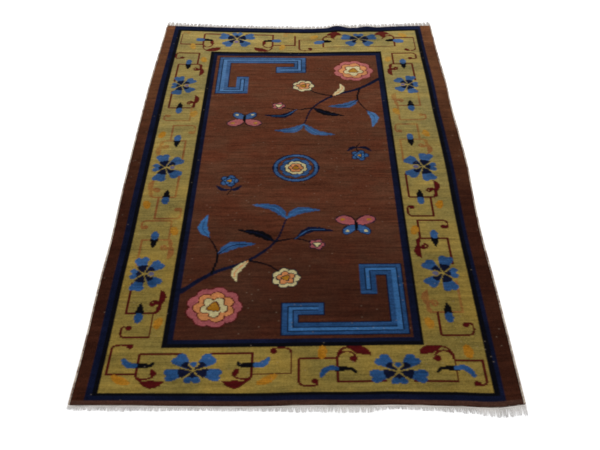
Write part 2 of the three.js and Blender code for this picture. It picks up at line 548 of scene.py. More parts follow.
OUTWARD_LEAF = WingStyle(
    stalk=((0, 20), (-1, 34), (-7, 44), (-16, 50)),
    leaf=((-12, 50), (-30, 59), (-48, 62), (-64, 60), (-80, 51)),
    leaf_widths=(2, 10, 17, 10, 1.5),
    curl=((-2, 36), (-14, 42), (-34, 41), (-47, 34), (-51, 22)),
    drop=((-48, 24), (-43, 11)),
    drop_widths=(9.5, 6),
    dark=((-41, -17), (-36, -8), (-22, -7), (3, -7)),
    dark_widths=(4.5, 7.5, 9.5, 9.5),
    blue=((10, -7), (22, -7), (34, -15), (44, -28)),
    blue_widths=(9, 11.5, 10, 6),
    fleck=((62, 34), (45, 46), (22, 58)),
    fleck_widths=(9, 15, 9),
)
FIELD_LEAF = WingStyle(
    stalk=((0, 30), (-5, 56), (-16, 72), (-34, 79)),
    leaf=((-32, 78), (-46, 74), (-64, 68), (-82, 61), (-95, 49)),
    leaf_widths=(3, 11, 16.5, 13, 2),
    curl=((0, 38), (-8, 54), (-24, 62), (-40, 60), (-50, 50), (-50, 38)),
    drop=((-47, 35), (-47, 29)),
    drop_widths=(11.5, 7),
    dark=((-52, -13), (-40, -2), (-24, 0), (2, -2)),
    dark_widths=(4, 6.5, 8.5, 9),
    blue=((2, 0), (18, 3), (36, -8), (46, -26)),
    blue_widths=(8, 9.5, 9.5, 6),
    fleck=((40, 74), (42, 60), (43, 46)),
    fleck_widths=(11, 14, 11),
)
SIDE_LEAF = WingStyle(
    stalk=((-1, 50), (-4, 57), (-14, 60), (-34, 60)),
    leaf=((-32, 60), (-50, 63), (-68, 64), (-84, 61), (-96, 54)),
    leaf_widths=(2.5, 9, 11, 8, 1.5),
    curl=((0, 50), (-18, 54), (-36, 55), (-50, 46), (-47, 33), (-35, 29), (-28, 37)),
    drop=((-40, 43), (-36, 41)),
    drop_widths=(7, 6),
    dark=((-40, 1), (-20, 1), (0, 1)),
    dark_widths=(2, 10, 13),
    blue=((12, 1), (22, 1), (34, 0)),
    blue_widths=(12, 13, 8),
    fleck=((30, 66), (44, 62), (56, 60)),
    fleck_widths=(10, 14, 10),
)
FAR_OUTWARD_LEAF = replace(
    OUTWARD_LEAF,
    leaf=((-22, 60), (-36, 65), (-54, 67), (-70, 64), (-82, 58)),
    leaf_widths=(5, 12, 15, 12, 3),
    drop=((-48, 49), (-43, 36)),
    drop_widths=(13, 9),
    dark=((-34, 3), (-18, 3), (-6, 3)),
    dark_widths=(7, 12, 12),
    blue=((8, 0), (20, -3), (28, -6)),
    blue_widths=(13, 17, 14),
    fleck=((46, 40), (36, 48)),
    fleck_widths=(14, 14),
)
FAR_FIELD_LEAF = replace(
    FIELD_LEAF,
    leaf=((-20, 74), (-34, 71), (-52, 66), (-69, 60), (-80, 49)),
    curl=((0, 30), (-8, 44), (-24, 48), (-39, 40), (-44, 24)),
    drop=((-41, 22), (-38, 4)),
    drop_widths=(8, 8),
    dark=((-34, -3), (-18, -3), (-4, -3)),
    dark_widths=(8, 9, 10),
    blue=((8, -4), (18, -4), (24, -4)),
    blue_widths=(12, 15, 13),
    fleck=((40, 60), (44, 46), (46, 32)),
    fleck_widths=(9, 13, 9),
)


@dataclass(frozen=True)
class Wing:
    """The vine to one side of a border blossom, on axes out from it and away from the vine.

    Attributes:
        vine: wool of the box and its curls.
        outer: wool of the outer line and its hook.
        box: how far out the box goes.
        exit: how far across the outer line leaves the box.
        reach: how far out the outer line goes.
        far: how far across its hook runs back.
        back: how far the hook's dot lies back from the reach.
        sink: how far the dot's middle lies inside the hook.
        hook: wool of the hook and its dot, or None for the outer line's own.
    """

    vine: Ink
    outer: Ink
    box: float
    exit: float
    reach: float
    far: float
    back: float
    sink: float
    hook: Ink | None = None


class Bloom(NamedTuple):
    """A blossom's shift along the border and towards the field, its scale and its eye's wool."""

    along: float = 0.0
    across: float = 0.0
    scale: float = 1.0
    eye: Ink = Ink.MAUVE


class Petal(NamedTuple):
    """A two-lobed petal with a dark wedge at its foot.

    Turn, half angle between lobes and half angle of the wedge are degrees, and reach, lobe
    radius and wedge length are motif millimetres.
    """

    turn: float
    reach: float
    spread: float
    lobe: float
    foot_spread: float
    foot: float


@dataclass(frozen=True)
class Blossom:
    """A five-petalled border blossom that looks towards the field.

    Each petal has two round lobes of blue and a dark wedge at its foot. The petals stand about
    a heart a little outward of the middle, and leave a gap on the field side for an eye.

    Attributes:
        heart_drop: how far outward of the middle the heart lies.
        petals: the five petals.
        petal_start: where a lobe starts, over its petal's reach.
        waist: half width of a lobe where it starts.
        foot_start: where a dark foot starts.
        foot_widths: half widths of a foot where it starts and ends.
        veins: turns of the lines between petals, in degrees.
        vein_length: reach of a vein.
        vein_width: half width of a vein.
        heart: radius of the heart.
        eye_place: how far towards the field the eye lies.
        eye_ground: half width of the gold around the eye.
        eye_width: half width of the eye.
    """

    heart_drop: float = 14.0
    petals: tuple[Petal, ...] = (
        Petal(45, 61, 9.5, 14, 8, 33),
        Petal(135, 61, 9.5, 14, 8, 33),
        Petal(-14, 68, 9, 13.5, 17, 34),
        Petal(194, 68, 9, 13.5, 17, 34),
        Petal(-90, 36, 20, 12, 36, 18),
    )
    petal_start: float = 0.3
    waist: float = 5.0
    foot_start: float = 5.0
    foot_widths: tuple[float, float] = (1.5, 7.5)
    veins: tuple[float, ...] = (16.0, 164.0, -50.0, -130.0)
    vein_length: float = 40.0
    vein_width: float = 2.0
    heart: float = 6.0
    eye_place: float = 10.0
    eye_ground: float = 13.5
    eye_width: float = 9.0

    def paint(self, chart: KnotChart, place: Place, bloom: Bloom) -> None:
        """Draw the petals, their dark feet, the veins between them and the eye."""
        scale, shift = bloom.scale, np.array([bloom.along, bloom.across])

        def stroke(path: Array, width: Array | float, ink: Ink) -> None:
            """Brush a path of the blossom at its own shift and scale."""
            chart.brush(place.on_chart(path * scale + shift), width * scale, ink)

        for petal in self.petals:
            for side in (-1, 1):
                start = self.petal_start * petal.reach
                tip = self.ray(petal.turn + side * petal.spread, start, petal.reach)
                stroke(tip, np.linspace(self.waist, petal.lobe, len(tip)), Ink.BLUE)
        for petal in self.petals:
            for side in (-1, 0, 1):
                turn = petal.turn + side * petal.foot_spread
                foot = self.ray(turn, self.foot_start, petal.foot)
                stroke(foot, np.linspace(*self.foot_widths, len(foot)), Ink.NAVY)
        for angle in self.veins:
            stroke(self.ray(angle, 0, self.vein_length), self.vein_width, Ink.GOLD)
        stroke(np.array([[0.0, -self.heart_drop]]), self.heart, Ink.GOLD)
        eye = straight([(-1, self.eye_place), (1, self.eye_place)])
        stroke(eye, self.eye_ground, Ink.GOLD)
        stroke(eye, self.eye_width, bloom.eye)

    def ray(self, angle: float, start: float, end: float) -> Array:
        """Points along a ray from the blossom's heart, in motif millimetres."""
        turn = math.radians(angle)
        reach = np.arange(start, end + 1.5, 1.5)[:, None]
        return reach * np.array([math.cos(turn), math.sin(turn)]) + (0, -self.heart_drop)


@dataclass(frozen=True)
class BorderUnit:
    """A blossom with a vine wing to each side, the repeat of the wide gold border.

    Attributes:
        place: the motif's axes, with the second axis towards the field.
        vine_side: 1 where the vine passes on the field side of the blossom, -1 outside.
        vine: distance of the vine from the blossom's middle.
        wings: the wing against the first axis and the one along it.
        style: how the small parts of both wings are brushed.
        line: half width of the vine.
        inset: how much nearer to the vine the small parts sit.
        bloom: the blossom's own shift, scale and eye.
        vine_start: how far out from the blossom's middle the vine starts.
        bend: how far before its corner the outer line starts to bend into the hook.
        shoulder: how far inside its corner the bend passes, and how far past the dot the curl.
        curl_in: how far before the dot the curl starts, and how far it has sunk beside it.
        dot: radius of the hook's dot.
    """

    place: Place
    vine_side: int
    vine: float
    wings: tuple[Wing, Wing]
    style: WingStyle
    line: float = 3.6
    inset: float = 0.0
    bloom: Bloom = Bloom()
    vine_start: float = 40.0
    bend: float = 16.0
    shoulder: float = 5.0
    curl_in: float = 4.0
    dot: float = 10.0

    def half_turned(
        self, x: float, y: float, stretch: float, wings: tuple[Wing, Wing], bloom: Bloom
    ) -> BorderUnit:
        """The unit turned half round, with the wings and blossom that were tied there.

        Args:
            x: chart place of the turned unit.
            y: chart place of the turned unit.
            stretch: scale across the border.
            wings: its own two wings.
            bloom: its blossom's shift and scale.

        Returns:
            The turned unit.
        """
        along, across = self.place.along, self.place.across
        place = Place(x, y, (-along[0], -along[1]), (-across[0], -across[1]), stretch)
        return replace(self, place=place, wings=wings, bloom=bloom)

    def paint(self, chart: KnotChart) -> None:
        """Draw both wings and then the blossom over them."""
        for side, wing in zip((-1, 1), self.wings):
            self.paint_wing(chart, side, wing)
        Blossom().paint(chart, self.place, self.bloom)

    def paint_wing(self, chart: KnotChart, side: int, wing: Wing) -> None:
        """Draw one wing: box, leaf, curl, outer line with its dot, bud and orange fleck."""
        flip = np.array([side, -self.vine_side])

        def draw(path: Array, widths: Sequence[float] | float, ink: Ink) -> None:
            """Turn a wing path onto the chart and brush it, with widths spread along it."""
            spread = np.interp(
                np.linspace(0, 1, len(path)), np.linspace(0, 1, np.size(widths)), np.ravel(widths)
            )
            chart.brush(self.place.on_chart(path * flip), spread, ink)

        def from_box(points: Sequence[Point]) -> Array:
            """A smooth path through points given out from the box."""
            return flowing([(wing.box + out, across - self.inset) for out, across in points])

        style, line, box, out, far = self.style, self.line, wing.box, wing.reach, wing.far
        top = max(wing.exit, style.stalk[0][1] - self.inset)
        stem = straight([(self.vine_start, -self.vine), (box, -self.vine), (box, top)])
        draw(stem, line, wing.vine)
        draw(from_box(style.stalk), line, wing.vine)
        draw(from_box(style.leaf), style.leaf_widths, wing.vine)
        draw(from_box(style.curl), line, wing.vine)
        draw(from_box(style.drop), style.drop_widths, wing.vine)

        bend, shoulder, curl_in = self.bend, self.shoulder, self.curl_in
        draw(straight([(box, wing.exit), (out, wing.exit), (out, far + bend)]), line, wing.outer)
        dot = (out - wing.back, far + wing.sink)
        lip = (dot[0] + curl_in, far)
        turn = [(out, far + bend), (out - shoulder, far + shoulder), (out - bend, far), lip]
        hook = wing.outer if wing.hook is None else wing.hook
        draw(flowing(turn), line, hook)
        draw(flowing([lip, (dot[0] - shoulder, far + curl_in), dot]), line, hook)
        draw(np.array([dot]), self.dot, hook)

        draw(from_box(style.dark), style.dark_widths, Ink.BLACK)
        draw(from_box(style.blue), style.blue_widths, Ink.BLUE)
        draw(from_box(style.fleck), style.fleck_widths, Ink.ORANGE)


def border_units() -> list[BorderUnit]:
    """The ten repeats of the border: five up from the near end and their half-turned partners.

    Each blossom has its own place, because the weaver didn't count the knots exactly.
    """
    maroon, rose = Ink.MAROON, Ink.ROSE
    near_left = BorderUnit(
        Place(-279, -945, (1, 0), (0, 1), 1.06), 1, 48,
        (
            Wing(maroon, maroon, 161, 24, 248, -83, 54, 5),
            Wing(maroon, maroon, 162, 26, 271, -66, 50, 12),
        ),
        OUTWARD_LEAF,
        bloom=Bloom(-3, 1.7, 1.0, Ink.BLUE),
    )
    near_right = BorderUnit(
        Place(294, -956.5, (1, 0), (0, 1), 1.06), -1, 47,
        (
            Wing(maroon, maroon, 172, 37, 280, -61, 45, 17),
            Wing(maroon, maroon, 160, 28, 237, -58, 27, 5),
        ),
        FIELD_LEAF,
        bloom=Bloom(-1, 0.7, 1.01, Ink.BLUE),
    )
    left_low = BorderUnit(
        Place(-467, -561, (0, 1), (1, 0), 1.0), -1, 41,
        (
            Wing(maroon, maroon, 167, 44, 267, -44, 38, 21),
            Wing(rose, rose, 165, 48, 262, -52, 34, 15),
        ),
        SIDE_LEAF,
        bloom=Bloom(3, 4, 0.96),
    )
    left_middle = BorderUnit(
        Place(-465, -4, (0, 1), (1, 0), 1.0), 1, 45,
        (
            Wing(rose, rose, 166, 14, 286, -72, 50, 15),
            Wing(rose, rose, 178, 14, 286, -72, 50, 15),
        ),
        SIDE_LEAF,
        inset=12,
        bloom=Bloom(7, 2, 1.02),
    )
    left_high = BorderUnit(
        Place(-472, 577, (0, 1), (1, 0), 1.0), -1, 41,
        (
            Wing(maroon, rose, 168, 50, 262, -50, 34, 15),
            Wing(maroon, maroon, 182, 38, 282, -62, 44, 29),
        ),
        SIDE_LEAF,
        bloom=Bloom(7, 4, 0.91),
    )
    far_right = replace(near_left, vine=46, style=FAR_OUTWARD_LEAF, line=3.2).half_turned(
        280, 966, 1.03,
        (
            Wing(maroon, maroon, 161, 23, 248, -87, 40, 9),
            Wing(maroon, maroon, 162, 22, 271, -73, 50, 15),
        ),
        Bloom(-2, -8.2, 1.0, Ink.GOLD),
    )
    far_left = replace(near_right, style=FAR_FIELD_LEAF, line=3.2).half_turned(
        -274, 972, 1.2,
        (
            Wing(maroon, maroon, 164, 31, 265, -61, 45, 17, rose),
            Wing(maroon, maroon, 151, 31, 254, -58, 27, 5, rose),
        ),
        Bloom(1, -3.8, 1.01),
    )
    right_high = replace(left_low, inset=4).half_turned(
        459, 583, 1.0,
        (
            Wing(maroon, maroon, 178, 38, 270, -63, 44, 25),
            Wing(rose, rose, 158, 48, 262, -52, 34, 15),
        ),
        Bloom(-5.5, 5.5, 0.88),
    )
    right_middle = replace(left_middle, vine=60, inset=23).half_turned(
        459, 4, 1.0,
        (
            Wing(rose, rose, 178, 14, 286, -72, 50, 15),
            Wing(maroon, maroon, 178, 14, 286, -72, 50, 15),
        ),
        Bloom(-1, 10, 1.05),
    )
    right_low = left_high.half_turned(
        462, -565, 1.0,
        (
            Wing(maroon, maroon, 168, 50, 262, -50, 34, 15),
            Wing(rose, maroon, 173, 32, 265, -62, 41, 20),
        ),
        Bloom(1, 9),
    )
    return [
        near_left, near_right, left_low, left_middle, left_high,
        far_right, far_left, right_high, right_middle, right_low,
    ]


@dataclass(frozen=True)
class Peony:
    """A full flower of scalloped rings, drawn from the outside in.

    Attributes:
        rings: reach over the flower's radius, number of scallops and wool of each ring.
        outline: width of the dark line around a ring.
        scallop_place: how far out a scallop's middle lies, over the ring's reach.
        scallop: radius of a scallop, over the ring's reach.
        core: radius of the ring's filled middle, over its reach.
    """

    rings: tuple[tuple[float, int, Ink], ...] = (
        (1.0, 9, Ink.PINK),
        (0.74, 7, Ink.PEACH),
        (0.5, 5, Ink.CREAM),
        (0.24, 3, Ink.ORANGE),
    )
    outline: float = 3.6
    scallop_place: float = 0.66
    scallop: float = 0.34
    core: float = 0.7

    def paint(self, chart: KnotChart, centre: Point, radius: float, edge: Ink) -> None:
        """Draw each ring as scallops about the middle, with a dark line around them."""
        for number, (share, scallops, ink) in enumerate(self.rings):
            reach = radius * share
            turn = np.arange(scallops) * math.tau / scallops + 0.5 * number
            circle = np.stack([np.cos(turn), np.sin(turn)], axis=-1)
            ring = circle * self.scallop_place * reach + centre
            for room, wool in ((self.outline, edge), (0.0, ink)):
                chart.brush(ring, self.scallop * reach + room, wool)
                chart.dot(centre, self.core * reach + room, wool)


@dataclass(frozen=True)
class FieldDesign:
    """A sparse open field: a flower spray and a key fret from opposite corners.

    All but the roundel is drawn twice, the second time turned half round about the middle.

    Attributes:
        spray_origin: where the spray's stem leaves the frame.
    """

    spray_origin: Point = (-353.0, -640.0)

    def paint(self, chart: KnotChart) -> None:
        """Draw the frets, the sprays, the butterflies, the sprigs and the roundel."""
        for turn in (1, -1):
            self.paint_fret(chart, turn)
            self.paint_spray(chart, turn)
            self.paint_butterfly(chart, turn)
            self.paint_sprig(chart, turn)
        self.paint_roundel(chart)

    @staticmethod
    def paint_fret(chart: KnotChart, turn: int) -> None:
        """Draw a squared scroll of three blue bands between navy lines."""
        corners = [(64, -716), (-12, -716), (-12, -800), (313, -800), (313, -545),
                   (229, -545), (229, -630)]
        path = straight(corners, 3.0) * turn
        for half_width, ink in ((27, Ink.NAVY), (23.5, Ink.BLUE), (9.5, Ink.NAVY), (6.5, Ink.SKY)):
            chart.brush(path, half_width, ink, square=True)

    @staticmethod
    def paint_leaf(
        chart: KnotChart, points: Sequence[Point], width: float, ink: Ink, rib: Ink, turn: int
    ) -> None:
        """Draw a toothed leaf along a bent rib.

        The half width is a sine hump with a saw edge of shallow teeth that point to the tip.
        """
        path = flowing(points) * turn
        teeth = 1 - 0.3 * np.mod(np.linspace(0, 4.5, len(path)), 1)
        chart.brush(path, swelling(len(path), width, 1.5, 0.4) * teeth, ink)
        chart.brush(path[: int(0.8 * len(path))], 2.0, rib)

    def paint_spray(self, chart: KnotChart, turn: int) -> None:
        """Draw the stem, its leaves, two flowers and two buds."""
        stem = flowing([self.spray_origin, (-262, -560), (-150, -500), (-66, -410), (-30, -290)])
        chart.brush(stem * turn, np.linspace(9, 2.4, len(stem)), Ink.NAVY)
        twigs = (
            ((-262, -560), (-250, -470), (-285, -385)),
            ((-150, -500), (-90, -520), (-40, -560)),
            ((-66, -410), (0, -395), (60, -415)),
        )
        for points in twigs:
            twig = flowing(points) * turn
            chart.brush(twig, np.linspace(4.2, 2.2, len(twig)), Ink.BLACK)
        leaves = (
            (((-250, -470), (-210, -430), (-130, -420)), 19, Ink.BLUE, Ink.NAVY),
            (((-285, -385), (-310, -340), (-300, -270)), 17, Ink.SKY, Ink.BLUE),
            (((-66, -410), (-120, -370), (-190, -350)), 18, Ink.BLACK, Ink.NAVY),
            (((-30, -290), (10, -250), (85, -245)), 19, Ink.BLUE, Ink.SKY),
            (((-30, -290), (-70, -235), (-150, -215)), 19, Ink.BLUE, Ink.SKY),
            (((0, -395), (50, -350), (130, -355)), 15, Ink.NAVY, Ink.BLUE),
            (((-150, -500), (-190, -560), (-180, -600)), 14, Ink.CREAM, Ink.PEACH),
        )
        for points, width, ink, rib in leaves:
            self.paint_leaf(chart, points, width, ink, rib, turn)
        Peony().paint(chart, (-243 * turn, -706 * turn), 84, Ink.MAROON)
        small = Peony(((1.0, 7, Ink.CREAM), (0.66, 5, Ink.PEACH), (0.3, 3, Ink.ORANGE)))
        small.paint(chart, (-28 * turn, -582 * turn), 44, Ink.NAVY)
        bud = Peony(((1.0, 5, Ink.PINK), (0.5, 3, Ink.CREAM)))
        bud.paint(chart, (72 * turn, -424 * turn), 25, Ink.NAVY)

    @staticmethod
    def paint_butterfly(chart: KnotChart, turn: int) -> None:
        """Draw a butterfly with two pairs of wings, spots and feelers."""
        centre = np.array([205.0, -330.0])
        for side in (-1, 1):
            fore = flowing([(6, 8), (34, 30), (58, 34)]) * (side, 1) + centre
            hind = flowing([(6, -4), (26, -22), (36, -36)]) * (side, 1) + centre
            feeler = flowing([(2, 24), (12, 44), (26, 50)]) * (side, 1) + centre
            for half, ink in ((3.4, Ink.NAVY), (0, Ink.PINK)):
                chart.brush(fore * turn, swelling(len(fore), 21, 8, 0.65) + half, ink)
            for half, ink in ((3.4, Ink.NAVY), (0, Ink.BLUE)):
                chart.brush(hind * turn, swelling(len(hind), 16, 8, 0.6) + half, ink)
            chart.brush(fore[-10:-8] * turn, 7, Ink.ORANGE)
            chart.brush(hind[-8:-6] * turn, 5.5, Ink.CREAM)
            chart.brush(feeler * turn, 2.2, Ink.BLACK)
        body = straight([tuple(centre + (0, -26)), tuple(centre + (0, 24))])
        chart.brush(body * turn, swelling(len(body), 6.5, 3), Ink.BLACK)

    @staticmethod
    def paint_sprig(chart: KnotChart, turn: int) -> None:
        """Draw a small loose blossom with a stalk and two leaves."""
        centre = np.array([-238.0, -92.0])
        stalk = flowing([(0, 0), (10, -34), (-4, -66)]) + centre
        chart.brush(stalk * turn, 2.4, Ink.BLACK)
        for side in (-1, 1):
            leaf = flowing([(4, -38), (26 * side, -34), (44 * side, -14)]) + centre
            chart.brush(leaf * turn, swelling(len(leaf), 8, 2), Ink.NAVY)
        blossom = Peony(((1.0, 5, Ink.BLUE), (0.6, 5, Ink.SKY), (0.26, 3, Ink.ORANGE)))
        blossom.paint(chart, tuple((centre + (0, 14)) * turn), 32, Ink.NAVY)

    @staticmethod
    def paint_roundel(chart: KnotChart) -> None:
        """Draw the small round flower at the very middle."""
        for radius, ink in ((86, Ink.NAVY), (81, Ink.BLUE), (70, Ink.NAVY), (66, Ink.FIELD)):
            chart.dot((0, 0), radius, ink)
        petals = Peony(((1.0, 8, Ink.BLUE), (0.7, 8, Ink.CREAM), (0.45, 6, Ink.PEACH),
                        (0.2, 3, Ink.ORANGE)))
        petals.paint(chart, (0.0, 0.0), 58, Ink.NAVY)


def draw_chart() -> KnotChart:
    """Draw the chart: guard with its worn near strip, frames, gold border, field and motifs.

    The outer navy frame runs past the far end of the chart, so no guard is left there.
    """
    chart = KnotChart()
    frames = (
        Frame(620.0, 620.0, 1100.0, -1075.0, Ink.WORN_GUARD),
        Frame(572.0, 569.0, 1075.0, 1100.0, Ink.NAVY),
        Frame(555.0, 556.0, 1056.5, 1060.0, Ink.BLACK),
        Frame(539.0, 542.5, 1045.5, 1049.0, Ink.GOLD),
        Frame(381.0, 376.5, 868.0, 872.0, Ink.BLACK),
        Frame(366.5, 365.0, 854.5, 857.0, Ink.NAVY),
        Frame(352.0, 348.0, 838.0, 838.0, Ink.FIELD),
    )
    for frame in frames:
        chart.block(frame)
    for unit in border_units():
        unit.paint(chart)
    FieldDesign().paint(chart)
    return chart


WORN_SHARE = 0.0015
WORN_FADE = 0.28
WORN_PALE = (0.62, 0.55, 0.47)


def dye_knots(chart: KnotChart, rng: np.random.Generator) -> Array:
    """Linear colour of every knot, with the unevenness of hand-dyed wool.

    Weft rows vary one from the next, batches of wool change every few dozen rows, patches
    lean towards a second tint, the far end is paler, partly bleached and partly a painted sheen
    of the pile, and worn knots show paler.

    Args:
        chart: the inked chart.
        rng: the weaver's seeded dice.

    Returns:
        Rows by columns by three.
    """
    shape = chart.inks.shape
    rows = 0.6 * drift(shape, (shape[0] // 2, 9), rng) + 0.4 * drift(shape, (shape[0], 40), rng)
    batches = drift(shape, (24, 3), rng)
    patches = 0.6 * drift(shape, (30, 16), rng) + 0.4 * drift(shape, (90, 40), rng)
    single = rng.standard_normal(shape)
    along = np.broadcast_to(chart.y[:, None], shape)
    colour = np.zeros(shape + (3,))
    for ink, dye in DYES.items():
        here = chart.inks == ink
        # Paler towards the far end: partly bleaching, partly a painted sheen of the pile.
        share = smoothstep(along[here], *dye.fade_and_sheen)[:, None]
        tint = linear(np.array(dye.near)) * (1 - share) + linear(np.array(dye.far)) * share
        lean = np.clip(0.5 + 0.5 * patches[here], 0, 1)[:, None]
        depth = dye.streak * (rows[here] + 0.5 * batches[here]) + 0.5 * dye.mottle * patches[here]
        tone = (1 + lean * (np.array(dye.patch) - 1)) * (1 + 0.5 * depth + 0.05 * single[here])[:, None]
        colour[here] = tint * np.maximum(tone, 0.1) ** 2
    worn = rng.random(shape) < WORN_SHARE * np.exp(0.8 * drift(shape, (12, 8), rng))
    colour[worn] = colour[worn] * (1 - WORN_FADE) + WORN_FADE * linear(np.array(WORN_PALE))
    return colour


# ---------------------------------------------------------------------------
# Meshes
# ---------------------------------------------------------------------------
def make_piece(
    name: str,
    points: Array,
    faces: Sequence[Array],
    material: bpy.types.Material,
    colours: Array | None = None,
    uvs: Array | None = None,
    smooth: bool = False,
) -> bpy.types.Object:
    """Put whole arrays into a new mesh object at the origin.

    Args:
        name: the piece's name.
        points: rows of x, y, z in metres in the frame.
        faces: arrays of point numbers, each array with one width of face.
        material: the piece's finish.
        colours: linear red, green and blue for each point.
        uvs: one map place for each face corner, in the order of the faces.
        smooth: whether the faces are shaded smooth.

    Returns:
        The new object.
    """
    corners = np.concatenate([block.ravel() for block in faces]).astype(np.int32)
    widths = np.concatenate([np.full(len(block), block.shape[1]) for block in faces])
    starts = np.concatenate(([0], np.cumsum(widths)[:-1])).astype(np.int32)
    mesh = bpy.data.meshes.new(name)
    mesh.vertices.add(len(points))
    mesh.vertices.foreach_set("co", points.astype(np.float32).ravel())
    mesh.loops.add(len(corners))
    mesh.loops.foreach_set("vertex_index", corners)
    mesh.polygons.add(len(widths))
    mesh.polygons.foreach_set("loop_start", starts)
    mesh.polygons.foreach_set("use_smooth", np.full(len(widths), smooth))
    mesh.update(calc_edges=True)
    if colours is not None:
        layer = mesh.color_attributes.new(name="dyed", type="FLOAT_COLOR", domain="POINT")
        rgba = np.concatenate([colours, np.ones((len(colours), 1))], axis=1)
        layer.data.foreach_set("color", rgba.astype(np.float32).ravel())
    if uvs is not None:
        mesh.uv_layers.new(name="OFBake").data.foreach_set("uv", uvs.astype(np.float32).ravel())
    mesh.materials.append(material)
    piece = bpy.data.objects.new(name, mesh)
    bpy.context.scene.collection.objects.link(piece)
    LOG.info("%s: %d points, %d faces", name, len(points), len(widths))
    return piece


def grid_quads(rows: int, columns: int) -> Array:
    """Quads of a grid of points numbered row by row, anticlockwise from above."""
    first = (np.arange(rows - 1)[:, None] * columns + np.arange(columns - 1)).ravel()
    return np.stack([first, first + 1, first + columns + 1, first + columns], axis=-1)


def tube_quads(rings: int, sides: int) -> Array:
    """Quads of a tube whose rings of points follow one another."""
    ring = np.arange(rings - 1)[:, None] * sides
    side = np.arange(sides)[None, :]
    after = (side + 1) % sides
    corners = [ring + side, ring + after, ring + sides + after, ring + sides + side]
    return np.stack([corner.ravel() for corner in corners], axis=-1)


# ---------------------------------------------------------------------------
# Finishes
# ---------------------------------------------------------------------------
# The part of a noise's range that its values really fill.
NOISE_LOW = 0.3
NOISE_HIGH = 0.7
# Radians that a wave texture of scale 1 turns in one metre.
WAVE_TURN = 20


@dataclass(frozen=True)
class Coat:
    """How a surface takes the light.

    Attributes:
        roughness: from 0, a mirror, to 1.
        shine: specular level.
        bump: strength of its relief.
        relief: height of its relief, in metres.
    """

    roughness: float
    shine: float
    bump: float
    relief: float


class Nodes:
    """A small hand for laying out one material's nodes."""

    def __init__(self, name: str) -> None:
        """Start a material with an empty node tree and its output."""
        self.material = bpy.data.materials.new(name)
        self.material.use_nodes = True
        self.tree = self.material.node_tree
        self.tree.nodes.clear()
        self.output = self.add("ShaderNodeOutputMaterial")

    def add(self, kind: str, **settings: object) -> bpy.types.Node:
        """Add a node, set its properties by name and its sockets through a leading in_."""
        node = self.tree.nodes.new(kind)
        for key, value in settings.items():
            if key.startswith("in_"):
                node.inputs[key[3:].replace("_", " ")].default_value = value
            else:
                setattr(node, key, value)
        return node

    def link(self, source: bpy.types.NodeSocket, target: bpy.types.NodeSocket) -> None:
        """Join an output socket to an input socket."""
        self.tree.links.new(source, target)

    def noise(self, scale: float, stretch: Point, detail: float, roughness: float) -> bpy.types.Node:
        """Add a noise on Object coordinates, in cells a metre, stretched in x and y."""
        place = self.add("ShaderNodeTexCoord")
        mapping = self.add("ShaderNodeMapping")
        mapping.inputs["Scale"].default_value = (stretch[0], stretch[1], 1.0)
        self.link(place.outputs["Object"], mapping.inputs["Vector"])
        noise = self.add("ShaderNodeTexNoise", in_Scale=scale, in_Detail=detail)
        noise.inputs["Roughness"].default_value = roughness
        self.link(mapping.outputs["Vector"], noise.inputs["Vector"])
        return noise

    def shade(self, colour: bpy.types.NodeSocket, noise: bpy.types.Node,
              depth: float) -> bpy.types.NodeSocket:
        """Multiply a colour by a grey that a noise takes from 1 - depth to 1 + depth."""
        ramp = self.add("ShaderNodeMapRange", in_From_Min=NOISE_LOW, in_From_Max=NOISE_HIGH,
                        in_To_Min=1 - depth, in_To_Max=1 + depth)
        self.link(noise.outputs["Fac"], ramp.inputs["Value"])
        mix = self.add("ShaderNodeMix", data_type="RGBA", blend_type="MULTIPLY")
        mix.inputs["Factor"].default_value = 1.0
        self.link(colour, mix.inputs["A"])
        self.link(ramp.outputs["Result"], mix.inputs["B"])
        return mix.outputs["Result"]

    def surface(self, colour: bpy.types.NodeSocket, height: bpy.types.NodeSocket,
                coat: Coat) -> bpy.types.Node:
        """Add a rough surface with a colour and a relief, and join it to the output.

        Args:
            colour: the surface's colour.
            height: height of its relief, 0 to 1.
            coat: how rough and shiny it is and how deep the relief.

        Returns:
            The surface's node.
        """
        shader = self.add("ShaderNodeBsdfPrincipled", in_Roughness=coat.roughness,
                          in_Specular_IOR_Level=coat.shine)
        relief = self.add("ShaderNodeBump", in_Strength=coat.bump, in_Distance=coat.relief)
        self.link(height, relief.inputs["Height"])
        self.link(colour, shader.inputs["Base Color"])
        self.link(relief.outputs["Normal"], shader.inputs["Normal"])
        self.link(shader.outputs["BSDF"], self.output.inputs["Surface"])
        return shader


@dataclass(frozen=True)
class WoolFinish:
    """Clipped wool: the knot's own dye, broken by fibres and by streaks along the weft rows.

    Attributes:
        name: the material's name.
        fibre_scale: fibre noise, in cells a metre.
        fibre_depth: how far a fibre lightens or darkens the dye.
        streak_scale: streak noise, in cells a metre before its stretch.
        streak_depth: how far a streak lightens or darkens the dye.
        coat: roughness, shine and relief.
    """

    name: str = "clipped_wool"
    fibre_scale: float = 620.0
    fibre_depth: float = 0.18
    streak_scale: float = 26.0
    streak_depth: float = 0.14
    coat: Coat = Coat(0.92, 0.02, 0.5, 0.0006)

    def material(self) -> bpy.types.Material:
        """Build the finish."""
        nodes = Nodes(self.name)
        dyed = nodes.add("ShaderNodeAttribute", attribute_name="dyed")
        fibre = nodes.noise(self.fibre_scale, (1.0, 0.6), 3.0, 0.6)
        streak = nodes.noise(self.streak_scale, (0.5, 9.0), 3.0, 0.6)
        colour = nodes.shade(dyed.outputs["Color"], fibre, self.fibre_depth)
        colour = nodes.shade(colour, streak, self.streak_depth)
        nodes.surface(colour, fibre.outputs["Fac"], self.coat)
        return nodes.material


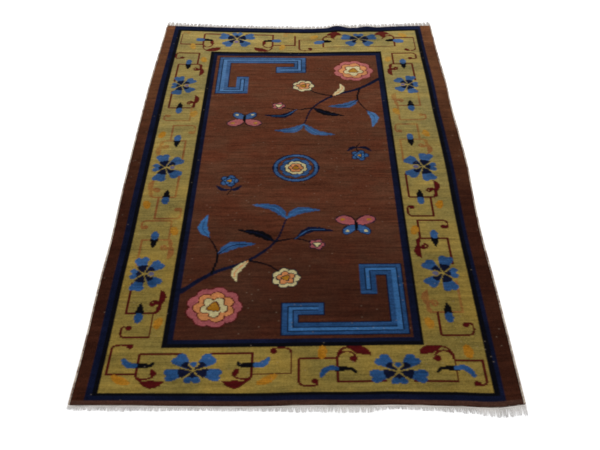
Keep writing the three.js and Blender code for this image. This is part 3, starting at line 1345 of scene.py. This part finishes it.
@dataclass(frozen=True)
class KnottedBackFinish:
    """The back: each knot a small ridge of its own wool between lines of cotton weft.

    Attributes:
        name: the material's name.
        knots_across: knots a metre across.
        rows_along: rows of knots a metre along.
        unevenness: how far the rows of ridges waver.
        weft: linear colour of the cotton between knots.
        weft_share: how much of a ridge's height the weft covers.
        fibre_scale: fibre noise, in cells a metre.
        fibre_depth: how far a fibre lightens or darkens the dye.
        coat: roughness, shine and relief.
    """

    name: str = "knotted_back"
    knots_across: float = 258.0
    rows_along: float = 256.0
    unevenness: float = 0.3
    weft: Rgb = (0.42, 0.38, 0.33)
    weft_share: float = 0.2
    fibre_scale: float = 500.0
    fibre_depth: float = 0.2
    coat: Coat = Coat(0.9, 0.2, 0.7, 0.0012)

    def material(self) -> bpy.types.Material:
        """Build the finish: a sine wave each way, and their product as the knots' height."""
        nodes = Nodes(self.name)
        dyed = nodes.add("ShaderNodeAttribute", attribute_name="dyed")
        place = nodes.add("ShaderNodeTexCoord")
        knot = nodes.add("ShaderNodeMath", operation="MULTIPLY")
        ways = (("X", self.knots_across), ("Y", self.rows_along))
        for socket, (direction, count) in enumerate(ways):
            wave = nodes.add("ShaderNodeTexWave", bands_direction=direction, wave_profile="SIN",
                             in_Scale=count * math.tau / WAVE_TURN, in_Distortion=self.unevenness)
            nodes.link(place.outputs["Object"], wave.inputs["Vector"])
            nodes.link(wave.outputs["Fac"], knot.inputs[socket])
        gap = nodes.add("ShaderNodeMapRange", in_From_Max=self.weft_share)
        nodes.link(knot.outputs["Value"], gap.inputs["Value"])
        cotton = nodes.add("ShaderNodeMix", data_type="RGBA")
        cotton.inputs["A"].default_value = (*self.weft, 1.0)
        nodes.link(gap.outputs["Result"], cotton.inputs["Factor"])
        nodes.link(dyed.outputs["Color"], cotton.inputs["B"])
        fibre = nodes.noise(self.fibre_scale, (1.0, 1.0), 3.0, 0.6)
        colour = nodes.shade(cotton.outputs["Result"], fibre, self.fibre_depth)
        nodes.surface(colour, knot.outputs["Value"], self.coat)
        return nodes.material


@dataclass(frozen=True)
class YarnFinish:
    """Twisted yarn in its own dyed colour: overcasting wool or cotton warp.

    Attributes:
        name: the material's name.
        grain: fibre noise, in cells a metre.
        contrast: how far a fibre lightens or darkens the yarn.
        sheen: weight of the soft light along the yarn's edges.
        coat: roughness, shine and relief.
    """

    name: str
    grain: float
    contrast: float
    sheen: float
    coat: Coat = Coat(0.9, 0.2, 0.6, 0.0005)

    def material(self) -> bpy.types.Material:
        """Build the finish."""
        nodes = Nodes(self.name)
        dyed = nodes.add("ShaderNodeAttribute", attribute_name="dyed")
        grain = nodes.noise(self.grain, (1.0, 1.0), 4.0, 0.65)
        colour = nodes.shade(dyed.outputs["Color"], grain, self.contrast)
        shader = nodes.surface(colour, grain.outputs["Fac"], self.coat)
        shader.inputs["Sheen Weight"].default_value = self.sheen
        return nodes.material


@dataclass(frozen=True)
class FloorFinish:
    """Plain pale studio floor."""

    name: str = "pale_floor"
    grey: float = 0.9

    def material(self) -> bpy.types.Material:
        """Build the finish."""
        nodes = Nodes(self.name)
        shader = nodes.add("ShaderNodeBsdfPrincipled", in_Roughness=0.9)
        shader.inputs["Base Color"].default_value = (self.grey, self.grey, self.grey, 1.0)
        shader.inputs["Specular IOR Level"].default_value = 0.1
        nodes.link(shader.outputs["BSDF"], nodes.output.inputs["Surface"])
        return nodes.material


# ---------------------------------------------------------------------------
# The rug's pieces
# ---------------------------------------------------------------------------
@dataclass
class Pile:
    """The clipped pile: one tuft for each knot, tied in lengthwise strips.

    A tuft is a low four-sided peak. Its foot corners are shared with its neighbours and lie
    deeper, and their colour is darkened as a painted shade between the tufts.

    Attributes:
        loom: the lying rug.
        chart: the inked chart.
        colours: linear colour of every knot.
        strips: number of pieces that the pile is made in.
        tuft_depth: how much deeper the foot corners lie than the tip.
        edge_round: how far in from an edge the pile is rounded.
        edge_drop: how much lower it stands at the very edge.
        edge_sink: how far foot corners on the very edge go into the foundation.
        lean: how far the tips lean towards the near end.
        jitter: how far a tip strays from its knot.
        tip_rough: unevenness of the tips' height, over the jitter.
        foot_rough: unevenness of the foot corners' depth, over the jitter.
        painted_foot_shade: painted shade between the tufts, the linear brightness of the foot corners over
            the knots'.
        finish: the wool's finish.
    """

    loom: Loom
    chart: KnotChart
    colours: Array
    strips: int = 5
    tuft_depth: float = 1.3
    edge_round: float = 4.5
    edge_drop: float = 1.2
    edge_sink: float = 0.4
    lean: float = 0.7
    jitter: float = 0.42
    tip_rough: float = 0.35
    foot_rough: float = 0.25
    painted_foot_shade: float = 0.72
    finish: WoolFinish = WoolFinish()

    def surface(self, u: Array, v: Array, rng: np.random.Generator, tip: bool) -> Array:
        """Points of the pile over chart places.

        Height is the foundation, the pile, the swell and the ripples, less a quarter-round
        drop near the edges. Foot corners on the very edge go down into the foundation.

        Args:
            u: chart places across.
            v: chart places along.
            rng: the weaver's seeded dice.
            tip: True for tuft tips, False for their foot corners.

        Returns:
            Points as rows by columns by three, in millimetres on the loom.
        """
        x, y = self.loom.knotted(u, v)
        inset = np.minimum((1 - np.abs(u)) * self.loom.half_width,
                           (1 - np.abs(v)) * self.loom.half_length)
        fall = np.clip(1 - inset / self.edge_round, 0, 1)
        height = self.loom.foundation + self.loom.pile + self.loom.swell(x, y)
        height = height - self.edge_drop * fall**2
        rough = rng.standard_normal((3,) + x.shape) * self.jitter
        if tip:
            height = height + self.tip_rough * rough[2]
            x = x + rough[0] * (1 - fall)
            y = y + (rough[1] - self.lean) * (1 - fall)
        else:
            height = height - self.tuft_depth + self.foot_rough * rough[2]
            on_edge = inset < 0.01
            height = np.where(on_edge, self.loom.foundation - self.edge_sink, height)
        return np.stack([x, y, height + self.loom.lift(x, y)], axis=-1)

    def build(self, rng: np.random.Generator) -> list[bpy.types.Object]:
        """Tie all strips and return them from left to right."""
        rows, columns = self.chart.inks.shape
        tip_u, tip_v = self.chart.x / self.chart.half_width, self.chart.y / self.chart.half_length
        foot_u, foot_v = np.linspace(-1, 1, columns + 1), np.linspace(-1, 1, rows + 1)
        tips = self.surface(*np.meshgrid(tip_u, tip_v), rng, True)
        feet = self.surface(*np.meshgrid(foot_u, foot_v), rng, False)
        around = np.pad(self.colours, ((1, 1), (1, 1), (0, 0)), mode="edge")
        foot_colours = (around[1:, 1:] + around[:-1, 1:] + around[1:, :-1] + around[:-1, :-1]) / 4
        # Painted shade: the foot corners between the tufts are darkened.
        foot_colours = foot_colours * self.painted_foot_shade
        material = self.finish.material()
        width = columns // self.strips
        pieces = []
        for strip in range(self.strips):
            tip_part = slice(strip * width, (strip + 1) * width)
            foot_part = slice(strip * width, (strip + 1) * width + 1)
            points = np.concatenate([tips[:, tip_part].reshape(-1, 3),
                                     feet[:, foot_part].reshape(-1, 3)])
            tints = np.concatenate([self.colours[:, tip_part].reshape(-1, 3),
                                    foot_colours[:, foot_part].reshape(-1, 3)])
            faces, uvs = self.tufts(rows, width)
            place = self.loom.to_frame(*points.T)
            name = f"pile_strip_{strip + 1}"
            pieces.append(make_piece(name, place, [faces], material, tints, uvs))
        return pieces

    @staticmethod
    def tufts(rows: int, columns: int) -> tuple[Array, Array]:
        """Triangles of a strip of tufts and their places on the map.

        Each tuft is four triangles from its tip to its foot corners. The map holds the near
        half of the strip on its left and the far half on its right, each within a margin.

        Args:
            rows: tufts along.
            columns: tufts across.

        Returns:
            Point numbers of the triangles, and the map place of each of their corners.
        """
        margin, half_map, far_map = 0.005, 0.485, 0.505
        row, column = np.meshgrid(np.arange(rows), np.arange(columns), indexing="ij")
        tip = row * columns + column
        foot = rows * columns + row * (columns + 1) + column
        corners = [foot, foot + 1, foot + columns + 2, foot + columns + 1]
        faces = np.stack(
            [np.stack([corners[i], corners[(i + 1) % 4], tip], axis=-1) for i in range(4)], axis=2
        )
        half = rows // 2
        far = row >= half
        left = column / columns
        low = np.where(far, row - half, row) / half
        step_u, step_v = 1 / columns, 1 / half
        places = [(0, 0), (1, 0), (1, 1), (0, 1)]
        spots = [np.stack([left + a * step_u, low + b * step_v], axis=-1) for a, b in places]
        middle = np.stack([left + 0.5 * step_u, low + 0.5 * step_v], axis=-1)
        uvs = np.stack(
            [np.stack([spots[i], spots[(i + 1) % 4], middle], axis=2) for i in range(4)], axis=2
        )
        uvs[..., 0] = uvs[..., 0] * half_map + margin + np.where(far, far_map, 0)[:, :, None, None]
        uvs[..., 1] = uvs[..., 1] * (1 - 2 * margin) + margin
        return faces.reshape(-1, 3), uvs.reshape(-1, 2)


@dataclass
class Foundation:
    """The knotted foundation: a thin closed cloth whose back shows the design.

    The back is a fine grid that carries the knots' colours. The face, which the pile hides,
    keeps the columns and only every few rows.
    """

    loom: Loom
    chart: KnotChart
    colours: Array
    columns: int = 180
    rows: int = 324
    rows_to_one: int = 12
    finish: KnottedBackFinish = KnottedBackFinish()

    def build(self) -> bpy.types.Object:
        """Make the cloth: back, four side walls, face, and the face's many-cornered rims."""
        u, v = np.meshgrid(np.linspace(-1, 1, self.columns + 1), np.linspace(-1, 1, self.rows + 1))
        x, y = self.loom.knotted(u, v)
        lift = self.loom.lift(x, y)
        back = np.stack([x, y, lift], axis=-1)
        face = np.stack([x, y, lift + self.loom.foundation], axis=-1)
        width = self.columns + 1
        count = back.shape[0] * width
        number = np.arange(count).reshape(-1, width)
        rim = np.zeros(number.shape, dtype=bool)
        rim[[0, -1]] = True
        rim[:, [0, -1]] = True
        rim[:: self.rows_to_one] = True
        top = np.full(number.shape, -1)
        top[rim] = count + np.arange(rim.sum())
        coarse_top = top[:: self.rows_to_one]
        faces = [grid_quads(self.rows + 1, width)[:, ::-1]]
        inner = coarse_top[:, 1:-1]
        faces.append(self.cells(inner))
        faces.extend(self.side_cells(top))
        loop = np.concatenate([number[0, :-1], number[:-1, -1], number[-1, :0:-1], number[:0:-1, 0]])
        above = np.concatenate([top[0, :-1], top[:-1, -1], top[-1, :0:-1], top[:0:-1, 0]])
        after, above_after = np.roll(loop, -1), np.roll(above, -1)
        faces.append(np.stack([loop, after, above_after, above], axis=-1))
        points = np.concatenate([back.reshape(-1, 3), face[rim]])
        tints = self.back_colours(u, v)
        tints = np.concatenate([tints.reshape(-1, 3), tints[rim]])
        place = self.loom.to_frame(*points.T)
        return make_piece("foundation_cloth", place, faces, self.finish.material(), tints)

    @staticmethod
    def cells(numbers: Array) -> Array:
        """Quads between neighbouring rows and columns of point numbers."""
        corners = [numbers[:-1, :-1], numbers[:-1, 1:], numbers[1:, 1:], numbers[1:, :-1]]
        return np.stack([corner.ravel() for corner in corners], axis=-1)

    def side_cells(self, top: Array) -> list[Array]:
        """Cells of the face along both sides, with every fine rim point as a corner."""
        step = self.rows_to_one
        starts = np.arange(0, self.rows, step)
        fine = starts[:, None] + np.arange(step + 1)
        left = np.concatenate([top[fine[:, ::-1], 0], top[starts, 1][:, None],
                               top[starts + step, 1][:, None]], axis=1)
        right = np.concatenate([top[fine, -1], top[starts + step, -2][:, None],
                                top[starts, -2][:, None]], axis=1)
        return [left, right]

    def back_colours(self, u: Array, v: Array) -> Array:
        """The colour of the nearest knot for every point of the back."""
        rows, columns = self.chart.inks.shape
        row = np.clip(((v + 1) / 2 * rows).astype(int), 0, rows - 1)
        column = np.clip(((u + 1) / 2 * columns).astype(int), 0, columns - 1)
        return self.colours[row, column]


@dataclass
class SideCord:
    """The overcast cord along one side: an eight-sided cord with slanting wraps.

    Attributes:
        loom: the lying rug.
        name: the piece's name.
        node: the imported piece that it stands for.
        side: -1 for the left side, 1 for the right.
        width: width of the cord.
        height: height of the cord.
        wrap: distance from one wrap to the next.
        wrap_depth: depth of the groove between wraps.
        slant: how far a wrap runs along for each millimetre across.
        slide_limit: the furthest that a wrap runs along.
        end_share: size of the two end rings, over a full one.
        sides: sides of the cord's section.
    """

    loom: Loom
    name: str
    node: str
    side: int
    width: float = 6.0
    height: float = 4.6
    wrap: float = 3.0
    wrap_depth: float = 0.28
    slant: float = 0.5
    slide_limit: float = 1.4
    end_share: float = 0.3
    sides: int = 8

    def build(self, material: bpy.types.Material, rng: np.random.Generator) -> bpy.types.Object:
        """Make the cord.

        Each ring is an eight-sided ellipse that stands on one of its sides. Its radius shrinks
        and swells once a wrap, and its points are moved along the cord in step with their
        distance across, so the wraps slant. The end rings are narrow, and each is closed.
        """
        length = 2 * self.loom.half_length
        rings = 2 * int(length / self.wrap)
        v = np.linspace(-1, 1, rings)
        x, y = self.loom.outline(np.full(rings, float(self.side)), v)
        middle = x + self.side * (self.loom.seam_gap + self.width / 2)
        angle = (np.arange(self.sides) + 0.5) / self.sides * math.tau
        swell = 1 - self.wrap_depth / self.width * (1 - np.cos(math.pi * np.arange(rings)))
        swell[[0, -1]] = self.end_share
        across = np.cos(angle)[None, :] * self.width / 2 * swell[:, None]
        up = self.height / 2 * (1 + np.sin(angle)[None, :] * swell[:, None])
        slide = np.clip(self.slant * across * self.side, -self.slide_limit, self.slide_limit)
        slide[[0, -1]] = 0
        lift = self.loom.lift(x, y)
        points = np.stack([middle[:, None] + across, y[:, None] + slide, lift[:, None] + up], axis=-1)
        faces = [tube_quads(rings, self.sides)]
        faces.append(np.arange(self.sides)[None, ::-1])
        faces.append(((rings - 1) * self.sides + np.arange(self.sides))[None, :])
        place = self.loom.to_frame(*points.reshape(-1, 3).T)
        tints = np.repeat(self.colours(rings, rng), self.sides, axis=0)
        return make_piece(self.name, place, faces, material, tints, smooth=True)

    def colours(self, rings: int, rng: np.random.Generator) -> Array:
        """Undyed wool along the cord, with stretches rubbed dark beside the guard."""
        pale = linear(np.array((0.66, 0.61, 0.55)))
        dark = linear(np.array((0.40, 0.30, 0.25)))
        patch = drift((rings, 1), (90, 1), rng)[:, 0] + 0.6 * drift((rings, 1), (500, 1), rng)[:, 0]
        share = np.clip(0.35 + 0.4 * patch, 0, 1)[:, None]
        shade = 1 + 0.08 * rng.standard_normal(rings)[:, None]
        return (pale * (1 - share) + dark * share) * shade


@dataclass
class Fringe:
    """The web and the loose warp ends along one end.

    Attributes:
        loom: the lying rug.
        name: which end, as the start of the pieces' names.
        node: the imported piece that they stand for.
        end: -1 for the near end, 1 for the far end.
        warps: warp ends.
        web: width of the woven web.
        web_thickness: thickness of the web.
        web_stations: stations along the web.
        web_depths: points of the web's section, outwards, over its width.
        web_rises: the same points upwards, over its thickness.
        web_rough: unevenness of the section.
        thickness: half thickness of a warp end at its root.
        taper: how much thinner it is at its tip, as a share.
        rings: rings of points along a warp end.
        lock_pitch: distance from one lock of warp ends to the next.
        lock_lengths: shortest and longest lock, over the fringe's length there.
        lengths: shortest and longest warp end, over the fringe's length there.
        gather: how far an end is drawn to the middle of its lock, as a share.
        wander: how far its tip strays to the side.
        curl: how far it curls to and fro.
        hump: how high its middle may rise.
        root: how far its root lies inside the web.
        cord_room: room for the side cord at each end of the web.
    """

    loom: Loom
    name: str
    node: str
    end: int
    warps: int = 900
    web: float = 5.6
    web_thickness: float = 1.9
    web_stations: int = 420
    web_depths: tuple[float, ...] = (0.0, 0.15, 0.5, 0.85, 1.0, 0.85, 0.5, 0.15)
    web_rises: tuple[float, ...] = (0.5, 0.05, 0.0, 0.05, 0.4, 0.8, 1.0, 0.9)
    web_rough: float = 0.07
    thickness: float = 0.72
    taper: float = 0.35
    rings: int = 7
    lock_pitch: float = 18.0
    lock_lengths: tuple[float, float] = (0.88, 1.08)
    lengths: tuple[float, float] = (0.5, 1.12)
    gather: float = 0.35
    wander: float = 1.6
    curl: float = 0.8
    hump: float = 1.6
    root: float = 1.8
    cord_room: float = 6.3

    def seam(self, x: Array) -> Array:
        """Where the knotted edge lies in y, just past it, at x."""
        near, far, _, _ = self.loom.end_reach(x)
        return self.end * ((far if self.end > 0 else near) + self.loom.seam_gap)

    def limits(self) -> tuple[float, float]:
        """Leftmost and rightmost x of the fringe, past both side cords."""
        left, right = self.loom.side_reach(np.array([self.end * self.loom.half_length]))
        return float(-left[0] - self.cord_room), float(right[0] + self.cord_room)

    def build(self, material: bpy.types.Material, rng: np.random.Generator
              ) -> list[bpy.types.Object]:
        """Make the web and the warp ends."""
        return [self.build_web(material, rng), self.build_ends(material, rng)]

    def build_web(self, material: bpy.types.Material, rng: np.random.Generator) -> bpy.types.Object:
        """Make the narrow woven web: a flat eight-sided section swept along the edge."""
        low, high = self.limits()
        stations, sides = self.web_stations, len(self.web_depths)
        x = np.linspace(low + 0.2, high - 0.2, stations)
        start = self.seam(x)
        depth = np.array(self.web_depths) * self.web
        rise = np.array(self.web_rises) * self.web_thickness
        rough = 1 + self.web_rough * rng.standard_normal((stations, sides))
        y = start[:, None] + self.end * depth[None, :] * rough
        z = rise[None, :] * rough + self.loom.lift(x, start)[:, None]
        points = np.stack(np.broadcast_arrays(x[:, None], y, z), axis=-1)
        faces = [tube_quads(stations, sides), np.arange(sides)[None, ::-1],
                 ((stations - 1) * sides + np.arange(sides))[None, :]]
        if self.end > 0:
            faces = [block[:, ::-1] for block in faces]
        tints = self.colours(stations, rng, np.zeros(sides))
        place = self.loom.to_frame(*points.reshape(-1, 3).T)
        return make_piece(f"{self.name}_web", place, faces, material, tints, smooth=True)

    def build_ends(self, material: bpy.types.Material, rng: np.random.Generator
                   ) -> bpy.types.Object:
        """Make all warp ends as one mesh of four-sided tapered tubes.

        An end leaves the web at its own x, is drawn towards the middle of its lock, wanders
        a little to the side, and sinks to the floor along its length.
        """
        low, high = self.limits()
        count = self.warps
        foot = np.linspace(low + 1.0, high - 1.0, count) + 0.4 * rng.standard_normal(count)
        foot = np.clip(foot, low + 0.8, high - 0.8)
        fringe = self.loom.end_reach(foot)[3 if self.end > 0 else 2]
        lock = np.floor((foot - low) / self.lock_pitch)
        lock_length = rng.uniform(*self.lock_lengths, int(lock.max()) + 1)[lock.astype(int)]
        length = fringe * np.clip(lock_length + 0.07 * rng.standard_normal(count), *self.lengths)
        centre = low + (lock + 0.5) * self.lock_pitch
        centre = centre + rng.uniform(-3, 3, int(lock.max()) + 1)[lock.astype(int)]
        t = np.linspace(0, 1, self.rings)[None, :]
        gather = self.gather * (centre - foot)[:, None] * t**1.5
        wander = rng.standard_normal(count)[:, None] * self.wander * t**1.3
        turns = rng.uniform(2, 6, count)[:, None]
        phase = rng.uniform(0, 6, count)[:, None]
        curl = self.curl * np.sin(t * turns + phase) * t
        x = np.clip(foot[:, None] + gather + wander + curl, low, high)
        start = self.seam(foot)[:, None] + self.end * (self.web - self.root)
        y = start + self.end * t * (length - self.web + self.root)[:, None]
        rise = rng.uniform(0.9, 1.5, count)[:, None]
        hump = rng.uniform(0, self.hump, count)[:, None] * np.sin(math.pi * t)
        z = self.thickness + (rise - self.thickness) * (1 - t) ** 2 + hump
        z = z + self.loom.lift(x, y)
        radius = self.thickness * (1 - self.taper * t**2) * rng.uniform(0.85, 1.1, count)[:, None]
        return self.tubes(material, x, y, z, radius, rng)

    def tubes(self, material: bpy.types.Material, x: Array, y: Array, z: Array,
              radius: Array, rng: np.random.Generator) -> bpy.types.Object:
        """Sweep a square section along every path and close both of its ends."""
        count, rings = x.shape
        angle = (np.arange(4) + 0.5) * math.tau / 4
        across = np.cos(angle) * radius[:, :, None]
        up = np.sin(angle) * radius[:, :, None]
        depth = np.broadcast_to(y[:, :, None], across.shape)
        points = np.stack([x[:, :, None] + across, depth, z[:, :, None] + up], axis=-1)
        block = tube_quads(rings, 4)
        caps = np.stack([np.arange(4)[::-1], (rings - 1) * 4 + np.arange(4)])
        one = np.concatenate([block, caps])
        faces = (one[None] + (np.arange(count) * rings * 4)[:, None, None]).reshape(-1, 4)
        if self.end > 0:
            faces = faces[:, ::-1]
        tints = self.colours(count, rng, np.repeat(np.linspace(0, 1, rings), 4))
        place = self.loom.to_frame(*points.reshape(-1, 3).T)
        return make_piece(f"{self.name}_warp_ends", place, [faces], material, tints, smooth=True)

    def colours(self, count: int, rng: np.random.Generator, away: Array) -> Array:
        """Undyed cotton, soiled at the root and greyed unevenly from one end to the next.

        Args:
            count: warp ends, or stations of the web.
            rng: the weaver's seeded dice.
            away: share of the way from the root to the tip, for each ring.

        Returns:
            Rows of count by rings, by three.
        """
        root = (0.60, 0.548, 0.50) if self.end > 0 else (0.83, 0.81, 0.79)
        tip = (0.67, 0.66, 0.655) if self.end > 0 else (0.86, 0.85, 0.845)
        grey = 1 - 0.12 * np.abs(drift((count, 1), (40, 1), rng)) - 0.05 * rng.random((count, 1))
        share = away[None, :, None]
        wool = linear(np.array(root)) * (1 - share) + linear(np.array(tip)) * share
        return (wool * grey[:, :, None]).reshape(-1, 3)


# ---------------------------------------------------------------------------
# The studio
# ---------------------------------------------------------------------------
def placing(axes: Sequence[Array], place: Sequence[float]) -> Matrix:
    """A matrix that puts a thing's x, y and z along three axes, at a place."""
    matrix = Matrix.Identity(4)
    for column, axis in enumerate((*axes, place)):
        for row in range(3):
            matrix[row][column] = float(axis[row])
    return matrix


@dataclass(frozen=True)
class Studio:
    """The camera, the soft light and the pale floor around the lying rug.

    Attributes:
        loom: the lying rug.
        lens: focal length, in millimetres of film.
        sensor: width of the film.
        eye: place of the camera on the loom's axes.
        yaw: turn of the camera to the left, in degrees.
        pitch: how far it looks down, in degrees.
        roll: its roll, in degrees.
        floor_size: side of the square floor, in metres.
        world: brightness of the white room.
    """

    loom: Loom
    lens: float = 50.0
    sensor: float = 36.0
    eye: tuple[float, float, float] = (18.21, -2491.94, 1827.56)
    yaw: float = 0.3086
    pitch: float = 40.3005
    roll: float = -0.2951
    floor_size: float = 40.0
    world: float = 0.95

    def build(self) -> None:
        """Set up camera, light and floor."""
        self.build_camera()
        self.build_floor()
        self.build_light()

    def build_camera(self) -> None:
        """Place the camera from its turn about the upright, its dip and its roll."""
        yaw, pitch, roll = (math.radians(turn) for turn in (self.yaw, self.pitch, self.roll))
        forward = np.array([-math.sin(yaw) * math.cos(pitch),
                            math.cos(yaw) * math.cos(pitch), -math.sin(pitch)])
        level = np.array([math.cos(yaw), math.sin(yaw), 0.0])
        rise = np.cross(level, forward)
        right = math.cos(roll) * level + math.sin(roll) * rise
        up = -math.sin(roll) * level + math.cos(roll) * rise
        place = self.loom.to_frame(*(np.array([value]) for value in self.eye))[0]
        data = bpy.data.cameras.new("camera")
        data.lens = self.lens
        data.sensor_width = self.sensor
        data.sensor_fit = "HORIZONTAL"
        camera = bpy.data.objects.new("camera", data)
        camera.matrix_world = placing((right, up, -forward), place)
        bpy.context.scene.collection.objects.link(camera)
        bpy.context.scene.camera = camera

    def build_floor(self) -> None:
        """Lay a wide plain floor under the rug."""
        reach = self.floor_size / 2
        points = np.array([(-reach, -reach, 0), (reach, -reach, 0), (reach, reach, 0), (-reach, reach, 0)])
        floor = make_piece("floor", points, [np.arange(4)[None]], FloorFinish().material())

    def build_light(self) -> None:
        """Hang two wide soft lights and fill the room with white."""
        scene = bpy.context.scene
        world = bpy.data.worlds.new("white_room")
        world.use_nodes = True
        world.node_tree.nodes["Background"].inputs["Color"].default_value = (1.0, 1.0, 1.0, 1.0)
        world.node_tree.nodes["Background"].inputs["Strength"].default_value = self.world
        scene.world = world
        scene.view_settings.view_transform = "Standard"
        self.hang_light("window_light", (0.2, 3.0, 2.6), (0.0, 0.4, 0.0), size=3.2, power=130.0)
        self.hang_light("front_light", (-0.8, -2.6, 2.8), (0.0, 0.0, 0.0), size=2.4, power=4.0)

    @staticmethod
    def hang_light(name: str, place: Sequence[float], target: Sequence[float], size: float,
                   power: float) -> None:
        """Hang one square area light and turn its face to a target."""
        data = bpy.data.lights.new(name, "AREA")
        data.size = size
        data.energy = power
        light = bpy.data.objects.new(name, data)
        toward = np.array(target) - np.array(place)
        toward = toward / np.linalg.norm(toward)
        side = np.cross(toward, (0.0, 0.0, 1.0))
        side = side / np.linalg.norm(side)
        over = np.cross(side, toward)
        light.matrix_world = placing((side, over, -toward), place)
        bpy.context.scene.collection.objects.link(light)


# ---------------------------------------------------------------------------
# Assembly
# ---------------------------------------------------------------------------
def attach(piece: bpy.types.Object, nodes: Sequence[str] = ()) -> None:
    """Let a piece ride on the rug's one body and what it stands for."""
    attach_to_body(piece, "root")
    if nodes:
        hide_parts(*nodes)


def main() -> None:
    """Load the frame, make the rug's pieces in order, dress them and set up the studio."""
    logging.basicConfig(level=logging.INFO, format="%(name)s: %(message)s")
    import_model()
    loom = Loom(*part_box("rug_body"))
    Studio(loom).build()
    rng = np.random.default_rng(WEAVER_SEED)
    chart = draw_chart()
    colours = dye_knots(chart, rng)

    cloth = Foundation(loom, chart, colours).build()
    attach(cloth, ["rug_body"])
    parts = Pile(loom, chart, colours).build(rng)
    for strip in parts:
        attach(strip)

    wool = YarnFinish("overcast_wool", 700.0, 0.25, 0.15).material()
    for cord in (
        SideCord(loom, "left_overcasting", "left_side_cord", -1),
        SideCord(loom, "right_overcasting", "right_side_cord", 1),
    ):
        piece = cord.build(wool, rng)
        attach(piece, [cord.node])
        parts.append(piece)

    cotton = YarnFinish("warp_cotton", 900.0, 0.12, 0.1).material()
    for fringe in (
        Fringe(loom, "near", "near_fringe", -1),
        Fringe(loom, "far", "far_fringe", 1),
    ):
        web, ends = fringe.build(cotton, rng)
        attach(web)
        attach(ends, [fringe.node])
        parts.extend([web, ends])


if __name__ == "__main__":
    main()
